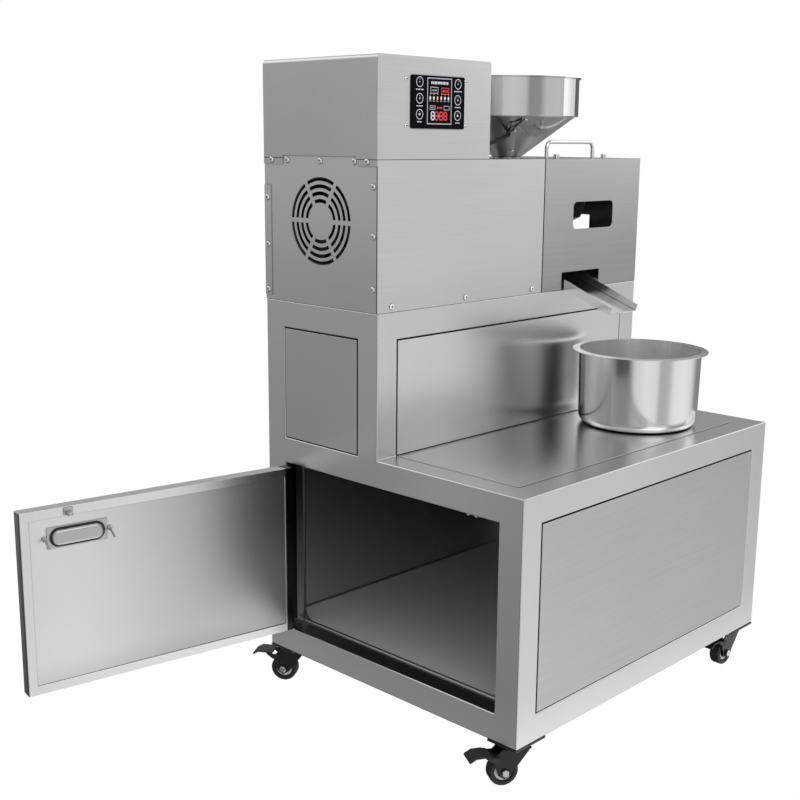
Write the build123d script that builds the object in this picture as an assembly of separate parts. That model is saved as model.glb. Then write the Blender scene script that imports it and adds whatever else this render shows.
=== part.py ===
"""Screw oil press: machine housing on a stepped cabinet with a door, casters, hopper, chute and bowl.

Millimetres, +Z up, the front at -Y and the fan end at -X. The origin is on the floor, midway between
the cabinet's ends and midway between its front and its back.
"""
from build123d import *
import os
from math import atan, cos, degrees, hypot, radians, sin

os.makedirs("parts", exist_ok=True)

# Cabinet and machine: overall sizes
CABINET_WIDTH = 600.0
CABINET_DEPTH = 478.0
SHELF_HEIGHT = 330.0
SHELF_DEPTH = 252.0
MACHINE_DEPTH = CABINET_DEPTH - SHELF_DEPTH
PEDESTAL_HEIGHT = 199.0
MACHINE_HEIGHT = 198.0
CONTROL_HEIGHT = 132.0
CONTROL_WIDTH = 220.0
COVER_SEAM = 349.0
SEAM_GAP = 1.6

# Tube, sheet and the gaps between them
TUBE = 38.0
TUBE_WALL = 1.5
SHEET = 1.2
GROOVE = 1.5
GROOVE_DEPTH = 4.0
SEAT = 0.3
RUNNING = 0.05

# Casters
CASTER_HEIGHT = 62.0
CASTER_PLATE = (60.0, 48.0, 3.0)
CASTER_RACE_RADIUS = 17.0
CASTER_RACE_HEIGHT = 7.0
CASTER_HEADINGS = {"front_left": 150.0, "front_right": 178.0, "back_left": 122.0, "back_right": 200.0}
CASTER_TRAIL = 19.0
WHEEL_RADIUS = 20.0
WHEEL_WIDTH = 17.0
WHEEL_SIDE_GAP = 1.0
WHEEL_EDGE = 3.0
WHEEL_WEB_RADIUS = 13.6
WHEEL_HUB_RADIUS = 6.6
FORK_SHEET = 2.0
FORK_HALF_LENGTH = 17.0
AXLE_RADIUS = 3.0
AXLE_NUT_RADIUS = 5.7
PEDAL_REACH = 67.0
PEDAL_WIDTH = 26.0
PEDAL_SHEET = 2.5
PEDAL_RISE = 8.0
PEDAL_SLANT = 6.0
PEDAL_TIP = 9.0
PEDAL_EAR = 4.0
PEDAL_PIVOT_RADIUS = 2.0
PEDAL_PIVOT_BEHIND = 12.0
PEDAL_PIVOT_BELOW = 1.0
KINGPIN_RADIUS = 4.0

# Door, hinge, catch and pull
DOOR_OPEN = 100.0
DOOR_THICKNESS = 19.0
DOOR_GAP = 2.0
DOOR_GAP_BOTTOM = 4.5
DOOR_LIP = 12.0
HINGE_SHEET = 1.2
HINGE_LEAF = 18.0
HINGE_LENGTH = 236.0
HINGE_KNUCKLES = 9
HINGE_RADIUS = 3.0
HINGE_PIN_RADIUS = 1.2
HINGE_SLIT = 0.4
HINGE_SCREWS = 3
HINGE_PIN_HEAD = 1.0
STOP_DEPTH = 34.0
STOP_LIP = 2.0
STOP_CORNER = 16.0
CATCH_FROM_FRONT = 104.0
CATCH_SIZE = (12.0, 26.0, 12.0)
ROLLER_RADIUS = 3.0
ROLLER_LENGTH = 8.0
ROLLER_PIN = 1.0
STRIKE_WIDTH = 6.0
STRIKE_DROP = 5.0
STRIKE_NOSE = 1.5
PULL_FROM_FRONT = 115.0
PULL_ABOVE_BOTTOM = 251.0
PULL_CUP = (70.0, 21.0)
PULL_CUP_EDGE = 4.0
PULL_STANDOFF = 5.0
PULL_FLANGE = 6.0
PULL_PLATE = (81.0, 28.0, 1.2)
GASKET_WIDTH = 2.0
CLAMP_SCREW = (1.4, 20.0, 27.0)
CLAMP_BOSS = 3.2

# Machine housing
BASE_SHEET = 2.0
BASE_FLANGE = 14.0
LAP = 8.0
TAB_FRONT, TAB_BACK = 38.0, MACHINE_DEPTH - 40.0
TAB_RISE = 3.5
REAR_LAP = 14.0
REAR_LAP_BOTTOM, REAR_LAP_TOP = 6.0, MACHINE_HEIGHT - 37.0
CONTROL_CORNER = 5.0
PANEL_LEFT, PANEL_BOTTOM = 59.5, 40.5
PANEL_SIZE = (103.0, 68.0)
PANEL_THICKNESS = 2.0
PANEL_MARGIN = 4.0
PANEL_CORNER = 2.0
BOARD_SIZE = (110.0, 74.0, 1.6)
BOARD_STANDOFF = 12.0
BOARD_PART_HEIGHTS = (20.8, 12.8)
SCREW_HEAD_RADIUS = 4.0
SCREW_HEAD_HEIGHT = 2.2
SCREW_RADIUS = 1.9

# Pan-head screws: how far each stands behind the machine's front, above the deck or along from the left end
LAP_SCREW_DROP = 2.5
LAP_SCREW_BACKS = (18.8, MACHINE_DEPTH - 17.1)
TAB_SCREW_BACKS = (TAB_FRONT + 5.6, MACHINE_DEPTH / 2 - 3.2, TAB_BACK - 8.6)
END_SCREW_BACK = 8.3
END_SCREW_RISES = (31.0, MACHINE_HEIGHT / 2 + 1.0, MACHINE_HEIGHT - 34.0)
REAR_SCREW_RISES = (REAR_LAP_BOTTOM + 8.0, MACHINE_HEIGHT / 2 - 21.0, REAR_LAP_TOP - 17.5)
FACE_SCREW_RISE = 7.5
FACE_SCREW_PLACES = (26.0, COVER_SEAM / 2, COVER_SEAM - 24.0)

# Fan and its grille
FAN_BACK, FAN_RISE = MACHINE_DEPTH / 2 - 3.0, 115.0
FAN_SQUARE = MACHINE_DEPTH * 60 / 113
FAN_CORNER = 8.0
FAN_DEPTH = 25.0
FAN_BORE = FAN_SQUARE / 2 - 2.5
FAN_BLADES = 7
FAN_TIP = FAN_BORE - 2.5
FAN_HUB = 18.0
FAN_HUB_LENGTH = 16.0
FAN_SETBACK = 4.0
FAN_PIN = 2.0
FAN_STRUT = (3.0, 5.0)
FAN_PITCHES = (50.0, 62.0)
BLADE_ROOT, BLADE_TIP = (17.0, 2.0), (26.0, 1.6)
GRILLE_SLOT = FAN_SQUARE / 24
GRILLE_STEPS = (5 / 24, 7 / 24, 89 / 240, 9 / 20)
GRILLE_RINGS = [(FAN_SQUARE * step, FAN_SQUARE * step + GRILLE_SLOT) for step in GRILLE_STEPS]
GRILLE_SPOKE = 6.0
GRILLE_SPOKES = 6

# Drive and press
PRESS_BACK, PRESS_RISE = MACHINE_DEPTH / 2, 126.0
MOTOR_RADIUS = MACHINE_DEPTH * 25 / 113
MOTOR_START, MOTOR_END = 60.0, 200.0
MOTOR_RIBS = 5
MOTOR_RIB = (2.0, 6.0)
MOTOR_FOOT = 16.0
GEARBOX_END = COVER_SEAM - 31.0
GEARBOX_HALF_WIDTH = MOTOR_RADIUS * 1.1
GEARBOX_HALF_HEIGHT = 60.0
GEARBOX_FOOT_INSET = 10.0
GEARBOX_FOOT_OVERLAP = 14.0
OUTPUT_RADIUS = 11.0
OUTPUT_DEPTH = 38.0
COUPLING_RADIUS = 18.0
COUPLING_LENGTH = 20.0
COUPLING_FIT = 0.02
BARREL_RADIUS = 32.0
BARREL_BORE = 17.0
BARREL_END = CABINET_WIDTH - 65.0
BARREL_FLANGE = (46.0, 8.0)
SCREW_SHANK = 10.0
SCREW_CORE_START, SCREW_CORE_END = 10.0, 14.0
SCREW_PITCH = 24.0
FLIGHT_ANGLE = 62.0
FLIGHT_GAP = 0.3
HEAD_RADIUS = 36.0
HEAD_LENGTH = 27.0
HEAD_NOZZLE = 9.0
OIL_SLIT = 1.4
OIL_SLITS = 8
OIL_SLIT_PITCH = 6.5
OIL_SLIT_START = 8.0
BAND_WIDTH = 26.0
BAND_THICKNESS = 3.0
BAND_EAR = 8.0
BAND_GAP = 4.0
BAND_FROM_END = 24.0
SADDLE_FROM_END = 22.0
SADDLE_SHEET = 6.0
SADDLE_TOE = 14.0
SADDLE_FOOT_SHEET = 4.0

# Press cover
WINDOW_LEFT, WINDOW_BOTTOM = 423.0, 91.5
WINDOW_SIZE = (104.5, 41.5)
WINDOW_CORNER = 8.0
NOTCH_LEFT, NOTCH_RIGHT, NOTCH_HEIGHT = 398.5, 496.5, 26.5
OUTLET_FRONT, OUTLET_BACK = PRESS_BACK - 18.0, PRESS_BACK + 48.0
OUTLET_BOTTOM, OUTLET_TOP = 51.0, 103.0
HANDLE_ROD = 3.0
HANDLE_SPAN = 119.0
HANDLE_SHIFT = 17.0
HANDLE_RISE = 28.0
HANDLE_CORNER = 10.0
HANDLE_BACK = MACHINE_DEPTH * 0.16
KNOB_BACK = 28.0
KNOB_SPAN = 124.0
KNOB_RADIUS = 4.5
KNOB_HEIGHT = 6.5
KNOB_EDGE = 1.0

# Hopper, chute and bowl
HOPPER_ALONG = 396.0
HOPPER_NECK = 22.0
HOPPER_NECK_DROP = 20.0
DRUM_RADIUS = MACHINE_DEPTH / 2 - 4.0
DRUM_HEIGHT = 57.0
RIM_RADIUS = DRUM_RADIUS + 3.0
FUNNEL_RADIUS = DRUM_RADIUS - 7.0
FUNNEL_HEIGHT = 61.0
HOPPER_BEAD = 2.0
THROAT_WALL = 5.0
THROAT_STEP = 6.0
HOPPER_SEAT_HALF = 60.0
HOPPER_SEAT_SHEET = 1.2
CHUTE_LEFT, CHUTE_RIGHT = 402.0, 472.0
CHUTE_TIP_OUT = 88.5
CHUTE_TIP_DROP = 30.5
CHUTE_SLOPE = 0.357
CHUTE_TIP_WALL, CHUTE_BACK_WALL = 10.8, 22.0
CHUTE_INSIDE = MACHINE_DEPTH * 0.7
CHUTE_TAB_FROM_END = 28.0
CHUTE_TAB_DEPTH = 20.0
CHUTE_TAB_INSET = 6.0
CHUTE_TAB_TOE = 6.0
BOWL_ALONG, BOWL_FROM_FRONT = 452.0, SHELF_DEPTH - 113.0
BOWL_RADIUS = 92.0
BOWL_FOOT = 89.5
BOWL_RIM = 101.5
BOWL_HEIGHT = 115.0
BOWL_SHEET = 1.0
BOWL_CORNER = 14.0

# Cable to the hopper; a spot on the funnel is an angle and a share of the way up its wall
CABLE_RADIUS = 2.6
CABLE_STRAIGHT = 34.0
CABLE_DIP_ALONG, CABLE_DIP_FRONT, CABLE_DIP = 62.0, 4.0, 21.0
CABLE_BEND = 12.0
WIRE_RADIUS = 0.9
WIRE_BEND = 10.0
WIRE_BULGE = 8.0
WIRE_SPREAD = 1.6
WIRE_SIDE_ANGLE = 3.4
GLAND_FROM_AXIS, GLAND_RISE = 33.0, 22.0
GLAND_RADIUS = 7.0
GLAND_LENGTH = 12.0
GLAND_COLLAR = (2.0, 4.0)
GLAND_THREAD = 1.0
TERMINAL_RADIUS = 3.0
TERMINAL_HEIGHT = 2.0
WIRE_TERMINAL = (235.5, 0.925)
CABLE_CLIP = (222.0, 0.6)
EARTH_TERMINAL = (228.0, 0.65)
SENSOR_TERMINAL = (233.0, 0.1625)

# Power inlet on the back
INLET_ALONG, INLET_RISE = 60.0, 40.0
INLET_FLANGE = (48.0, 3.0, 30.0)
INLET_BODY = (28.0, 24.0, 20.0)
INLET_WALL = 2.0
INLET_SOCKET_DEPTH = 14.0
INLET_PIN = (2.0, 4.0)
INLET_PIN_PITCH = 7.0

# Places worked out from the sizes above
LEFT, RIGHT = -CABINET_WIDTH / 2, CABINET_WIDTH / 2
FRONT, BACK = -CABINET_DEPTH / 2, CABINET_DEPTH / 2
UNDERSIDE = CASTER_HEIGHT
SHELF = UNDERSIDE + SHELF_HEIGHT
DECK = SHELF + PEDESTAL_HEIGHT
TOP = DECK + MACHINE_HEIGHT
LID = TOP + CONTROL_HEIGHT
FACE = FRONT + SHELF_DEPTH
SEAM = LEFT + COVER_SEAM
OPENING_FRONT, OPENING_BACK = FRONT + TUBE, BACK - TUBE
OPENING_BOTTOM, OPENING_TOP = UNDERSIDE + TUBE, SHELF - TUBE
FAN_Y, FAN_Z = FACE + FAN_BACK, DECK + FAN_RISE
PRESS_Y, PRESS_Z = FACE + PRESS_BACK, DECK + PRESS_RISE
HOPPER_X = LEFT + HOPPER_ALONG
HINGE_X = LEFT - HINGE_RADIUS
HINGE_Y = OPENING_BACK - HINGE_SHEET - SEAT
DOOR_BACK = HINGE_Y - SEAT - HINGE_SHEET
DOOR_FRONT = OPENING_FRONT + DOOR_GAP
DOOR_BOTTOM = OPENING_BOTTOM + DOOR_GAP_BOTTOM
DOOR_TOP = OPENING_TOP - DOOR_GAP
DOOR_INSIDE = LEFT + DOOR_THICKNESS
COVER_LEFT = SEAM + SEAM_GAP / 2
BODY_RIGHT = SEAM - SEAM_GAP / 2
BULKHEAD_X = BODY_RIGHT - 3 * SHEET
BARREL_START = BULKHEAD_X + 2 * SHEET
BARREL_STOP = LEFT + BARREL_END
THROAT_TOP = TOP - HOPPER_SEAT_SHEET
GLAND_Y, GLAND_Z = PRESS_Y - GLAND_FROM_AXIS, TOP + GLAND_RISE
INLET_X, INLET_Z = LEFT + INLET_ALONG, DECK + INLET_RISE
PEDAL_PIVOT_X = CASTER_TRAIL + PEDAL_PIVOT_BEHIND
PEDAL_PIVOT_Z = 2 * WHEEL_RADIUS - PEDAL_PIVOT_BELOW
CHEEK_IN = WHEEL_WIDTH / 2 + WHEEL_SIDE_GAP
CHEEK_OUT = CHEEK_IN + FORK_SHEET
RACE_BOTTOM = UNDERSIDE - CASTER_PLATE[2] - CASTER_RACE_HEIGHT
LAP_SCREW_Z = TOP - LAP_SCREW_DROP
END_SCREWS = [(FACE + END_SCREW_BACK, DECK + rise) for rise in END_SCREW_RISES]
TAB_SCREWS = [(FACE + back, LAP_SCREW_Z) for back in TAB_SCREW_BACKS]
LAP_SCREWS = [(FACE + back, LAP_SCREW_Z) for back in LAP_SCREW_BACKS]
REAR_SCREWS = [(BACK - REAR_LAP / 2, DECK + rise) for rise in REAR_SCREW_RISES]
FACE_SCREWS = [(LEFT + along, DECK + FACE_SCREW_RISE) for along in FACE_SCREW_PLACES]


def block(x0, x1, y0, y1, z0, z1):
    """A box between two corners."""
    return Pos((x0 + x1) / 2, (y0 + y1) / 2, (z0 + z1) / 2) * Box(x1 - x0, y1 - y0, z1 - z0)


def bar_x(radius, x0, x1, y, z):
    """A round bar along X."""
    return Pos((x0 + x1) / 2, y, z) * Rot(0, 90, 0) * Cylinder(radius, x1 - x0)


def bar_y(radius, x, y0, y1, z):
    """A round bar along Y."""
    return Pos(x, (y0 + y1) / 2, z) * Rot(90, 0, 0) * Cylinder(radius, y1 - y0)


def bar_z(radius, x, y, z0, z1):
    """A round bar along Z."""
    return Pos(x, y, (z0 + z1) / 2) * Cylinder(radius, z1 - z0)


def turned(outline):
    """A solid of revolution about Z from (radius, height) points."""
    face = make_face(Polyline(*[(r, 0, z) for r, z in outline], close=True))
    return revolve(face, Axis.Z, 360)


def save(name, *shapes):
    """Write the solids of one sub-part to its STEP file."""
    solids = [solid for shape in shapes for solid in shape.solids()]
    export_step(solids[0] if len(solids) == 1 else Compound(children=solids), f"parts/{name}.step")


def square_tube(x0, x1, y0, y1, z0, z1):
    """Hollow square tube along the longest of its three extents, with open ends."""
    extents = (x1 - x0, y1 - y0, z1 - z0)
    along = extents.index(max(extents))
    inner = [size if i == along else size - 2 * TUBE_WALL for i, size in enumerate(extents)]
    centre = Pos((x0 + x1) / 2, (y0 + y1) / 2, (z0 + z1) / 2)
    return centre * (Box(*extents) - Box(*inner))


def cabinet_frame():
    """Two welded ends and the cross rails between them, all of one square tube."""
    tubes = []
    for x0 in (LEFT, RIGHT - TUBE):
        x1 = x0 + TUBE
        tubes += [
            square_tube(x0, x1, FRONT, FRONT + TUBE, UNDERSIDE, SHELF)
            + block(x0, x1, FRONT, FRONT + TUBE, SHELF - TUBE_WALL, SHELF),
            square_tube(x0, x1, BACK - TUBE, BACK, UNDERSIDE, DECK),
            square_tube(x0, x1, FACE, FACE + TUBE, SHELF, DECK),
            square_tube(x0, x1, OPENING_FRONT, OPENING_BACK, UNDERSIDE, OPENING_BOTTOM),
            square_tube(x0, x1, OPENING_FRONT, OPENING_BACK, OPENING_TOP, SHELF),
            square_tube(x0, x1, FACE + TUBE, OPENING_BACK, DECK - TUBE, DECK),
        ]
    x0, x1 = LEFT + TUBE, RIGHT - TUBE
    for y0, z0 in ((FRONT, UNDERSIDE), (FRONT, OPENING_TOP), (BACK - TUBE, UNDERSIDE),
                   (FACE, OPENING_TOP), (FACE, DECK - TUBE), (BACK - TUBE, DECK - TUBE)):
        tubes.append(square_tube(x0, x1, y0, y0 + TUBE, z0, z0 + TUBE))
    return tubes


def pressed_panel(plane, width, height):
    """Sheet panel with a raised field, a narrow groove all round and a flange that meets the tubes."""
    field_w, field_h = width - 2 * GROOVE, height - 2 * GROOVE
    tray = Pos(0, 0, -GROOVE_DEPTH / 2) * Box(field_w, field_h, GROOVE_DEPTH)
    tray += Pos(0, 0, SHEET / 2 - GROOVE_DEPTH) * Box(width, height, SHEET)
    hollow = Box(field_w - 2 * SHEET, field_h - 2 * SHEET, GROOVE_DEPTH)
    return plane.location * (tray - Pos(0, 0, -GROOVE_DEPTH / 2 - SHEET) * hollow)


def panel_on(face, a0, a1, b0, b1):
    """A pressed panel on a named face of the cabinet, between two limits along and two limits up."""
    a, b = (a0 + a1) / 2, (b0 + b1) / 2
    planes = {
        "front": Plane(origin=(a, FRONT, b), x_dir=(1, 0, 0), z_dir=(0, -1, 0)),
        "pedestal": Plane(origin=(a, FACE, b), x_dir=(1, 0, 0), z_dir=(0, -1, 0)),
        "back": Plane(origin=(a, BACK, b), x_dir=(1, 0, 0), z_dir=(0, 1, 0)),
        "left": Plane(origin=(LEFT, a, b), x_dir=(0, 1, 0), z_dir=(-1, 0, 0)),
        "right": Plane(origin=(RIGHT, a, b), x_dir=(0, 1, 0), z_dir=(1, 0, 0)),
        "shelf": Plane(origin=(a, b, SHELF), x_dir=(1, 0, 0), z_dir=(0, 0, 1)),
        "deck": Plane(origin=(a, b, DECK), x_dir=(1, 0, 0), z_dir=(0, 0, 1)),
    }
    return pressed_panel(planes[face], a1 - a0, b1 - b0)


def floor_plate():
    """Cabinet floor, laid on the bottom rails and cut out round the four posts."""
    x0, x1 = LEFT + STOP_DEPTH, RIGHT - GROOVE_DEPTH
    y0, y1 = FRONT + GROOVE_DEPTH, BACK - GROOVE_DEPTH
    plate = block(x0, x1, y0, y1, OPENING_BOTTOM, OPENING_BOTTOM + SHEET)
    for x in (LEFT, RIGHT - TUBE):
        for y in (FRONT, BACK - TUBE):
            plate -= block(x, x + TUBE, y, y + TUBE, OPENING_BOTTOM - 1, OPENING_BOTTOM + SHEET + 1)
    return plate


def door_stop():
    """Sheet frame at the back of the door opening, with rounded inner corners."""
    y0, y1, z0, z1 = OPENING_FRONT, OPENING_BACK, OPENING_BOTTOM + SHEET, OPENING_TOP
    plane = Plane(origin=(LEFT + STOP_DEPTH, (y0 + y1) / 2, (z0 + z1) / 2), x_dir=(0, 1, 0), z_dir=(1, 0, 0))
    ring = Rectangle(y1 - y0, z1 - z0)
    ring -= RectangleRounded(y1 - y0 - 2 * STOP_LIP, z1 - z0 - 2 * STOP_LIP, STOP_CORNER)
    return extrude(plane * ring, SHEET)


def caster_fork():
    """Swivel fork pointing along +X: crown with its kingpin and two cheeks."""
    crown_top = RACE_BOTTOM - RUNNING
    crown_bottom = crown_top - FORK_SHEET
    back = CASTER_TRAIL + AXLE_RADIUS
    fork = block(-FORK_HALF_LENGTH, back, -CHEEK_OUT, CHEEK_OUT, crown_bottom, crown_top)
    side = make_face(Polyline(
        (-FORK_HALF_LENGTH, crown_top), (back, crown_top),
        (PEDAL_PIVOT_X, PEDAL_PIVOT_Z + 2 * PEDAL_PIVOT_RADIUS),
        (PEDAL_PIVOT_X + 2 * PEDAL_PIVOT_RADIUS, PEDAL_PIVOT_Z),
        (CASTER_TRAIL + 3 * AXLE_RADIUS, WHEEL_RADIUS - AXLE_RADIUS),
        (CASTER_TRAIL, WHEEL_RADIUS - 3 * AXLE_RADIUS),
        (CASTER_TRAIL - 3 * AXLE_RADIUS, WHEEL_RADIUS - AXLE_RADIUS), close=True))
    for y0 in (-CHEEK_OUT, CHEEK_IN):
        plane = Plane(origin=(0, y0 + FORK_SHEET, 0), x_dir=(1, 0, 0), z_dir=(0, -1, 0))
        fork += extrude(plane * side, FORK_SHEET)
    fork += bar_z(KINGPIN_RADIUS, 0, 0, crown_bottom, UNDERSIDE - CASTER_PLATE[2] / 2)
    fork -= bar_y(AXLE_RADIUS, CASTER_TRAIL, -CHEEK_OUT - 1, CHEEK_OUT + 1, WHEEL_RADIUS)
    return fork - bar_y(PEDAL_PIVOT_RADIUS + RUNNING, PEDAL_PIVOT_X, -CHEEK_OUT - 1, CHEEK_OUT + 1, PEDAL_PIVOT_Z)


def caster_axle():
    """Axle bolt through both cheeks, with a hexagon at each end."""
    axle = bar_y(AXLE_RADIUS, CASTER_TRAIL, -CHEEK_OUT, CHEEK_OUT, WHEEL_RADIUS)
    for y in (-CHEEK_OUT, CHEEK_OUT + AXLE_RADIUS):
        plane = Plane(origin=(CASTER_TRAIL, y, WHEEL_RADIUS), x_dir=(1, 0, 0), z_dir=(0, -1, 0))
        axle += extrude(plane * RegularPolygon(AXLE_NUT_RADIUS, 6), AXLE_RADIUS)
    return axle


def caster_wheel():
    """Wheel with a rounded tread, a recessed web and a hub that runs on the axle."""
    wheel = bar_y(WHEEL_RADIUS, CASTER_TRAIL, -WHEEL_WIDTH / 2, WHEEL_WIDTH / 2, WHEEL_RADIUS)
    wheel = fillet(wheel.edges().filter_by(GeomType.CIRCLE), WHEEL_EDGE)
    recess = bar_y(WHEEL_WEB_RADIUS, CASTER_TRAIL, WHEEL_WIDTH / 2 - WHEEL_EDGE, WHEEL_WIDTH, WHEEL_RADIUS)
    wheel -= recess + recess.mirror(Plane.XZ)
    wheel += bar_y(WHEEL_HUB_RADIUS, CASTER_TRAIL, -WHEEL_WIDTH / 2, WHEEL_WIDTH / 2, WHEEL_RADIUS)
    return wheel - bar_y(AXLE_RADIUS + RUNNING, CASTER_TRAIL, -WHEEL_WIDTH, WHEEL_WIDTH, WHEEL_RADIUS)


def brake_pedal():
    """Bent foot lever behind the wheel, its ears outside the cheeks on a cross pin."""
    start = PEDAL_PIVOT_X + 3 * PEDAL_PIVOT_RADIUS
    flat, turn_down = start + PEDAL_RISE, PEDAL_REACH - PEDAL_TIP
    low, high, sheet = PEDAL_PIVOT_Z, PEDAL_PIVOT_Z + PEDAL_RISE, PEDAL_SHEET
    back, tip = low + PEDAL_SLANT, low + PEDAL_SLANT / 2
    plate = make_face(Polyline(
        (start, back), (flat, high), (turn_down, high), (PEDAL_REACH, tip),
        (PEDAL_REACH, tip - sheet), (turn_down, high - sheet), (flat, high - sheet),
        (start, back - sheet), close=True))
    ear_in = CHEEK_OUT + 2 * RUNNING
    ear_out = ear_in + FORK_SHEET
    middle = Plane(origin=(0, PEDAL_WIDTH / 2, 0), x_dir=(1, 0, 0), z_dir=(0, -1, 0))
    pedal = extrude(middle * plate, PEDAL_WIDTH)
    ear = make_face(Polyline(
        (PEDAL_PIVOT_X - PEDAL_EAR, low - 0.75 * PEDAL_EAR),
        (PEDAL_PIVOT_X + PEDAL_EAR, low - 0.75 * PEDAL_EAR),
        (flat, low + PEDAL_EAR), (flat, high - sheet / 2), (start, back - sheet / 2),
        (PEDAL_PIVOT_X - PEDAL_EAR, low + PEDAL_EAR), close=True))
    for y in (-ear_in, ear_out):
        plane = Plane(origin=(0, y, 0), x_dir=(1, 0, 0), z_dir=(0, -1, 0))
        pedal += extrude(plane * ear, FORK_SHEET)
    return pedal + bar_y(PEDAL_PIVOT_RADIUS, PEDAL_PIVOT_X, -ear_out, ear_out, PEDAL_PIVOT_Z)


def caster(name, x, y, heading):
    """Write one swivel caster, trailing along its heading."""
    turn = Pos(x, y, 0) * Rot(0, 0, heading)
    save(f"{name}_fork", turn * caster_fork(), turn * caster_axle())
    save(f"{name}_wheel", turn * caster_wheel())
    save(f"{name}_pedal", turn * brake_pedal())


def caster_plates(places):
    """Top plates with their swivel races, screwed under the cabinet's corners."""
    plates = []
    width, depth, thick = CASTER_PLATE
    for x, y in places:
        plate = block(x - width / 2, x + width / 2, y - depth / 2, y + depth / 2, UNDERSIDE - thick, UNDERSIDE)
        plate += bar_z(CASTER_RACE_RADIUS, x, y, RACE_BOTTOM, UNDERSIDE - thick)
        plate -= bar_z(KINGPIN_RADIUS + RUNNING, x, y, RACE_BOTTOM - 1, UNDERSIDE - thick / 2 + RUNNING)
        plates.append(plate)
    return plates


def swung(shape):
    """Turn a piece of the closed door to the angle at which it stands open."""
    return shape.rotate(Axis((HINGE_X, HINGE_Y, 0), (0, 0, 1)), -DOOR_OPEN)


def door_pan():
    """Outer skin with four returned flanges and a narrow lip folded in along the inside face."""
    y0, y1, z0, z1 = DOOR_FRONT, DOOR_BACK, DOOR_BOTTOM, DOOR_TOP
    pan = block(LEFT, DOOR_INSIDE, y0, y1, z0, z1)
    pan -= block(LEFT + SHEET, DOOR_INSIDE - SHEET, y0 + SHEET, y1 - SHEET, z0 + SHEET, z1 - SHEET)
    pan -= block(LEFT + SHEET, DOOR_INSIDE + 1, y0 + DOOR_LIP, y1 - DOOR_LIP, z0 + DOOR_LIP, z1 - DOOR_LIP)
    return pan - pull_hole()


def pull_place(x):
    """Plane of the pull on the door, facing into the cabinet."""
    y, z = FRONT + PULL_FROM_FRONT, UNDERSIDE + PULL_ABOVE_BOTTOM
    return Plane(origin=(x, y, z), x_dir=(0, 1, 0), z_dir=(1, 0, 0))


def pull_hole():
    """The slot-shaped hole that the cup passes through."""
    return extrude(pull_place(LEFT - 1) * SlotOverall(*PULL_CUP), DOOR_THICKNESS + 2)


def door_lining():
    """Inner sheet behind the lip, with the hole for the pull's cup."""
    y0, y1, z0, z1 = DOOR_FRONT + SHEET, DOOR_BACK - SHEET, DOOR_BOTTOM + SHEET, DOOR_TOP - SHEET
    sheet = block(DOOR_INSIDE - 2 * SHEET, DOOR_INSIDE - SHEET, y0, y1, z0, z1)
    return sheet - pull_hole()


def door_pull():
    """Deep-drawn cup open to the outside, its flange on the skin and its back standing inside."""
    depth = DOOR_THICKNESS + PULL_STANDOFF
    cup = extrude(pull_place(LEFT) * SlotOverall(*PULL_CUP), depth)
    cup = fillet(cup.faces().sort_by(Axis.X)[-1].edges(), PULL_CUP_EDGE)
    flange = SlotOverall(PULL_CUP[0] + 2 * PULL_FLANGE, PULL_CUP[1] + 2 * PULL_FLANGE)
    cup += extrude(pull_place(LEFT - SHEET) * flange, SHEET)
    hollow = SlotOverall(PULL_CUP[0] - 2 * SHEET, PULL_CUP[1] - 2 * SHEET)
    inside = extrude(pull_place(LEFT - 2 * SHEET) * hollow, depth + SHEET)
    return cup - fillet(inside.faces().sort_by(Axis.X)[-1].edges(), PULL_CUP_EDGE - SHEET)


def pull_ring():
    """Outline of the rubber ring round the cup."""
    return SlotOverall(PULL_CUP[0] + 2 * GASKET_WIDTH, PULL_CUP[1] + 2 * GASKET_WIDTH)


def pull_plate():
    """Rectangular plate against the lining round the cup, and the two clamp screws beside it."""
    base = DOOR_INSIDE - SHEET
    plate = extrude(pull_place(base) * (Rectangle(*PULL_PLATE[:2]) - pull_ring()), PULL_PLATE[2])
    pieces = [plate]
    radius, length, droop = CLAMP_SCREW
    z = UNDERSIDE + PULL_ABOVE_BOTTOM
    for side in (-1, 1):
        y = FRONT + PULL_FROM_FRONT + side * (PULL_PLATE[0] / 2 + CLAMP_BOSS + SEAT)
        clamp = bar_x(CLAMP_BOSS, base, base + 2 * SHEET, y, z)
        rod = Cylinder(radius, length, align=(Align.CENTER, Align.CENTER, Align.MIN))
        pieces.append(clamp + Pos(base + SHEET, y, z) * Rot(0, 90 + droop, 0) * rod)
    return pieces


def pull_gasket():
    """Rubber ring between the plate and the cup."""
    return extrude(pull_place(DOOR_INSIDE - SHEET) * (pull_ring() - SlotOverall(*PULL_CUP)), 2 * SHEET)


def hinge_leaf(side):
    """One leaf of the continuous hinge: side 1 on the jamb, side -1 on the door's edge."""
    bottom = (OPENING_BOTTOM + OPENING_TOP - HINGE_LENGTH) / 2
    pitch = HINGE_LENGTH / HINGE_KNUCKLES
    near, far = sorted((HINGE_Y + side * SEAT, HINGE_Y + side * (SEAT + HINGE_SHEET)))
    barrel_edge = HINGE_X + HINGE_RADIUS + HINGE_SLIT
    leaf = block(barrel_edge, barrel_edge + HINGE_LEAF, near, far, bottom, bottom + HINGE_LENGTH)
    for index in range(HINGE_KNUCKLES):
        if (index % 2 == 0) != (side == 1):
            continue
        z0, z1 = bottom + index * pitch + HINGE_SLIT / 2, bottom + (index + 1) * pitch - HINGE_SLIT / 2
        leaf += block(HINGE_X, barrel_edge + 1, near, far, z0, z1)
        leaf += bar_z(HINGE_RADIUS, HINGE_X, HINGE_Y, z0, z1)
    leaf -= bar_z(HINGE_PIN_RADIUS + RUNNING, HINGE_X, HINGE_Y, bottom - 1, bottom + HINGE_LENGTH + 1)
    for index in range(HINGE_SCREWS):
        z = bottom + HINGE_LENGTH * (index + 0.5) / HINGE_SCREWS
        leaf -= bar_y(SCREW_RADIUS, barrel_edge + HINGE_LEAF / 2, near - 1, far + 1, z)
    return leaf


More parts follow.
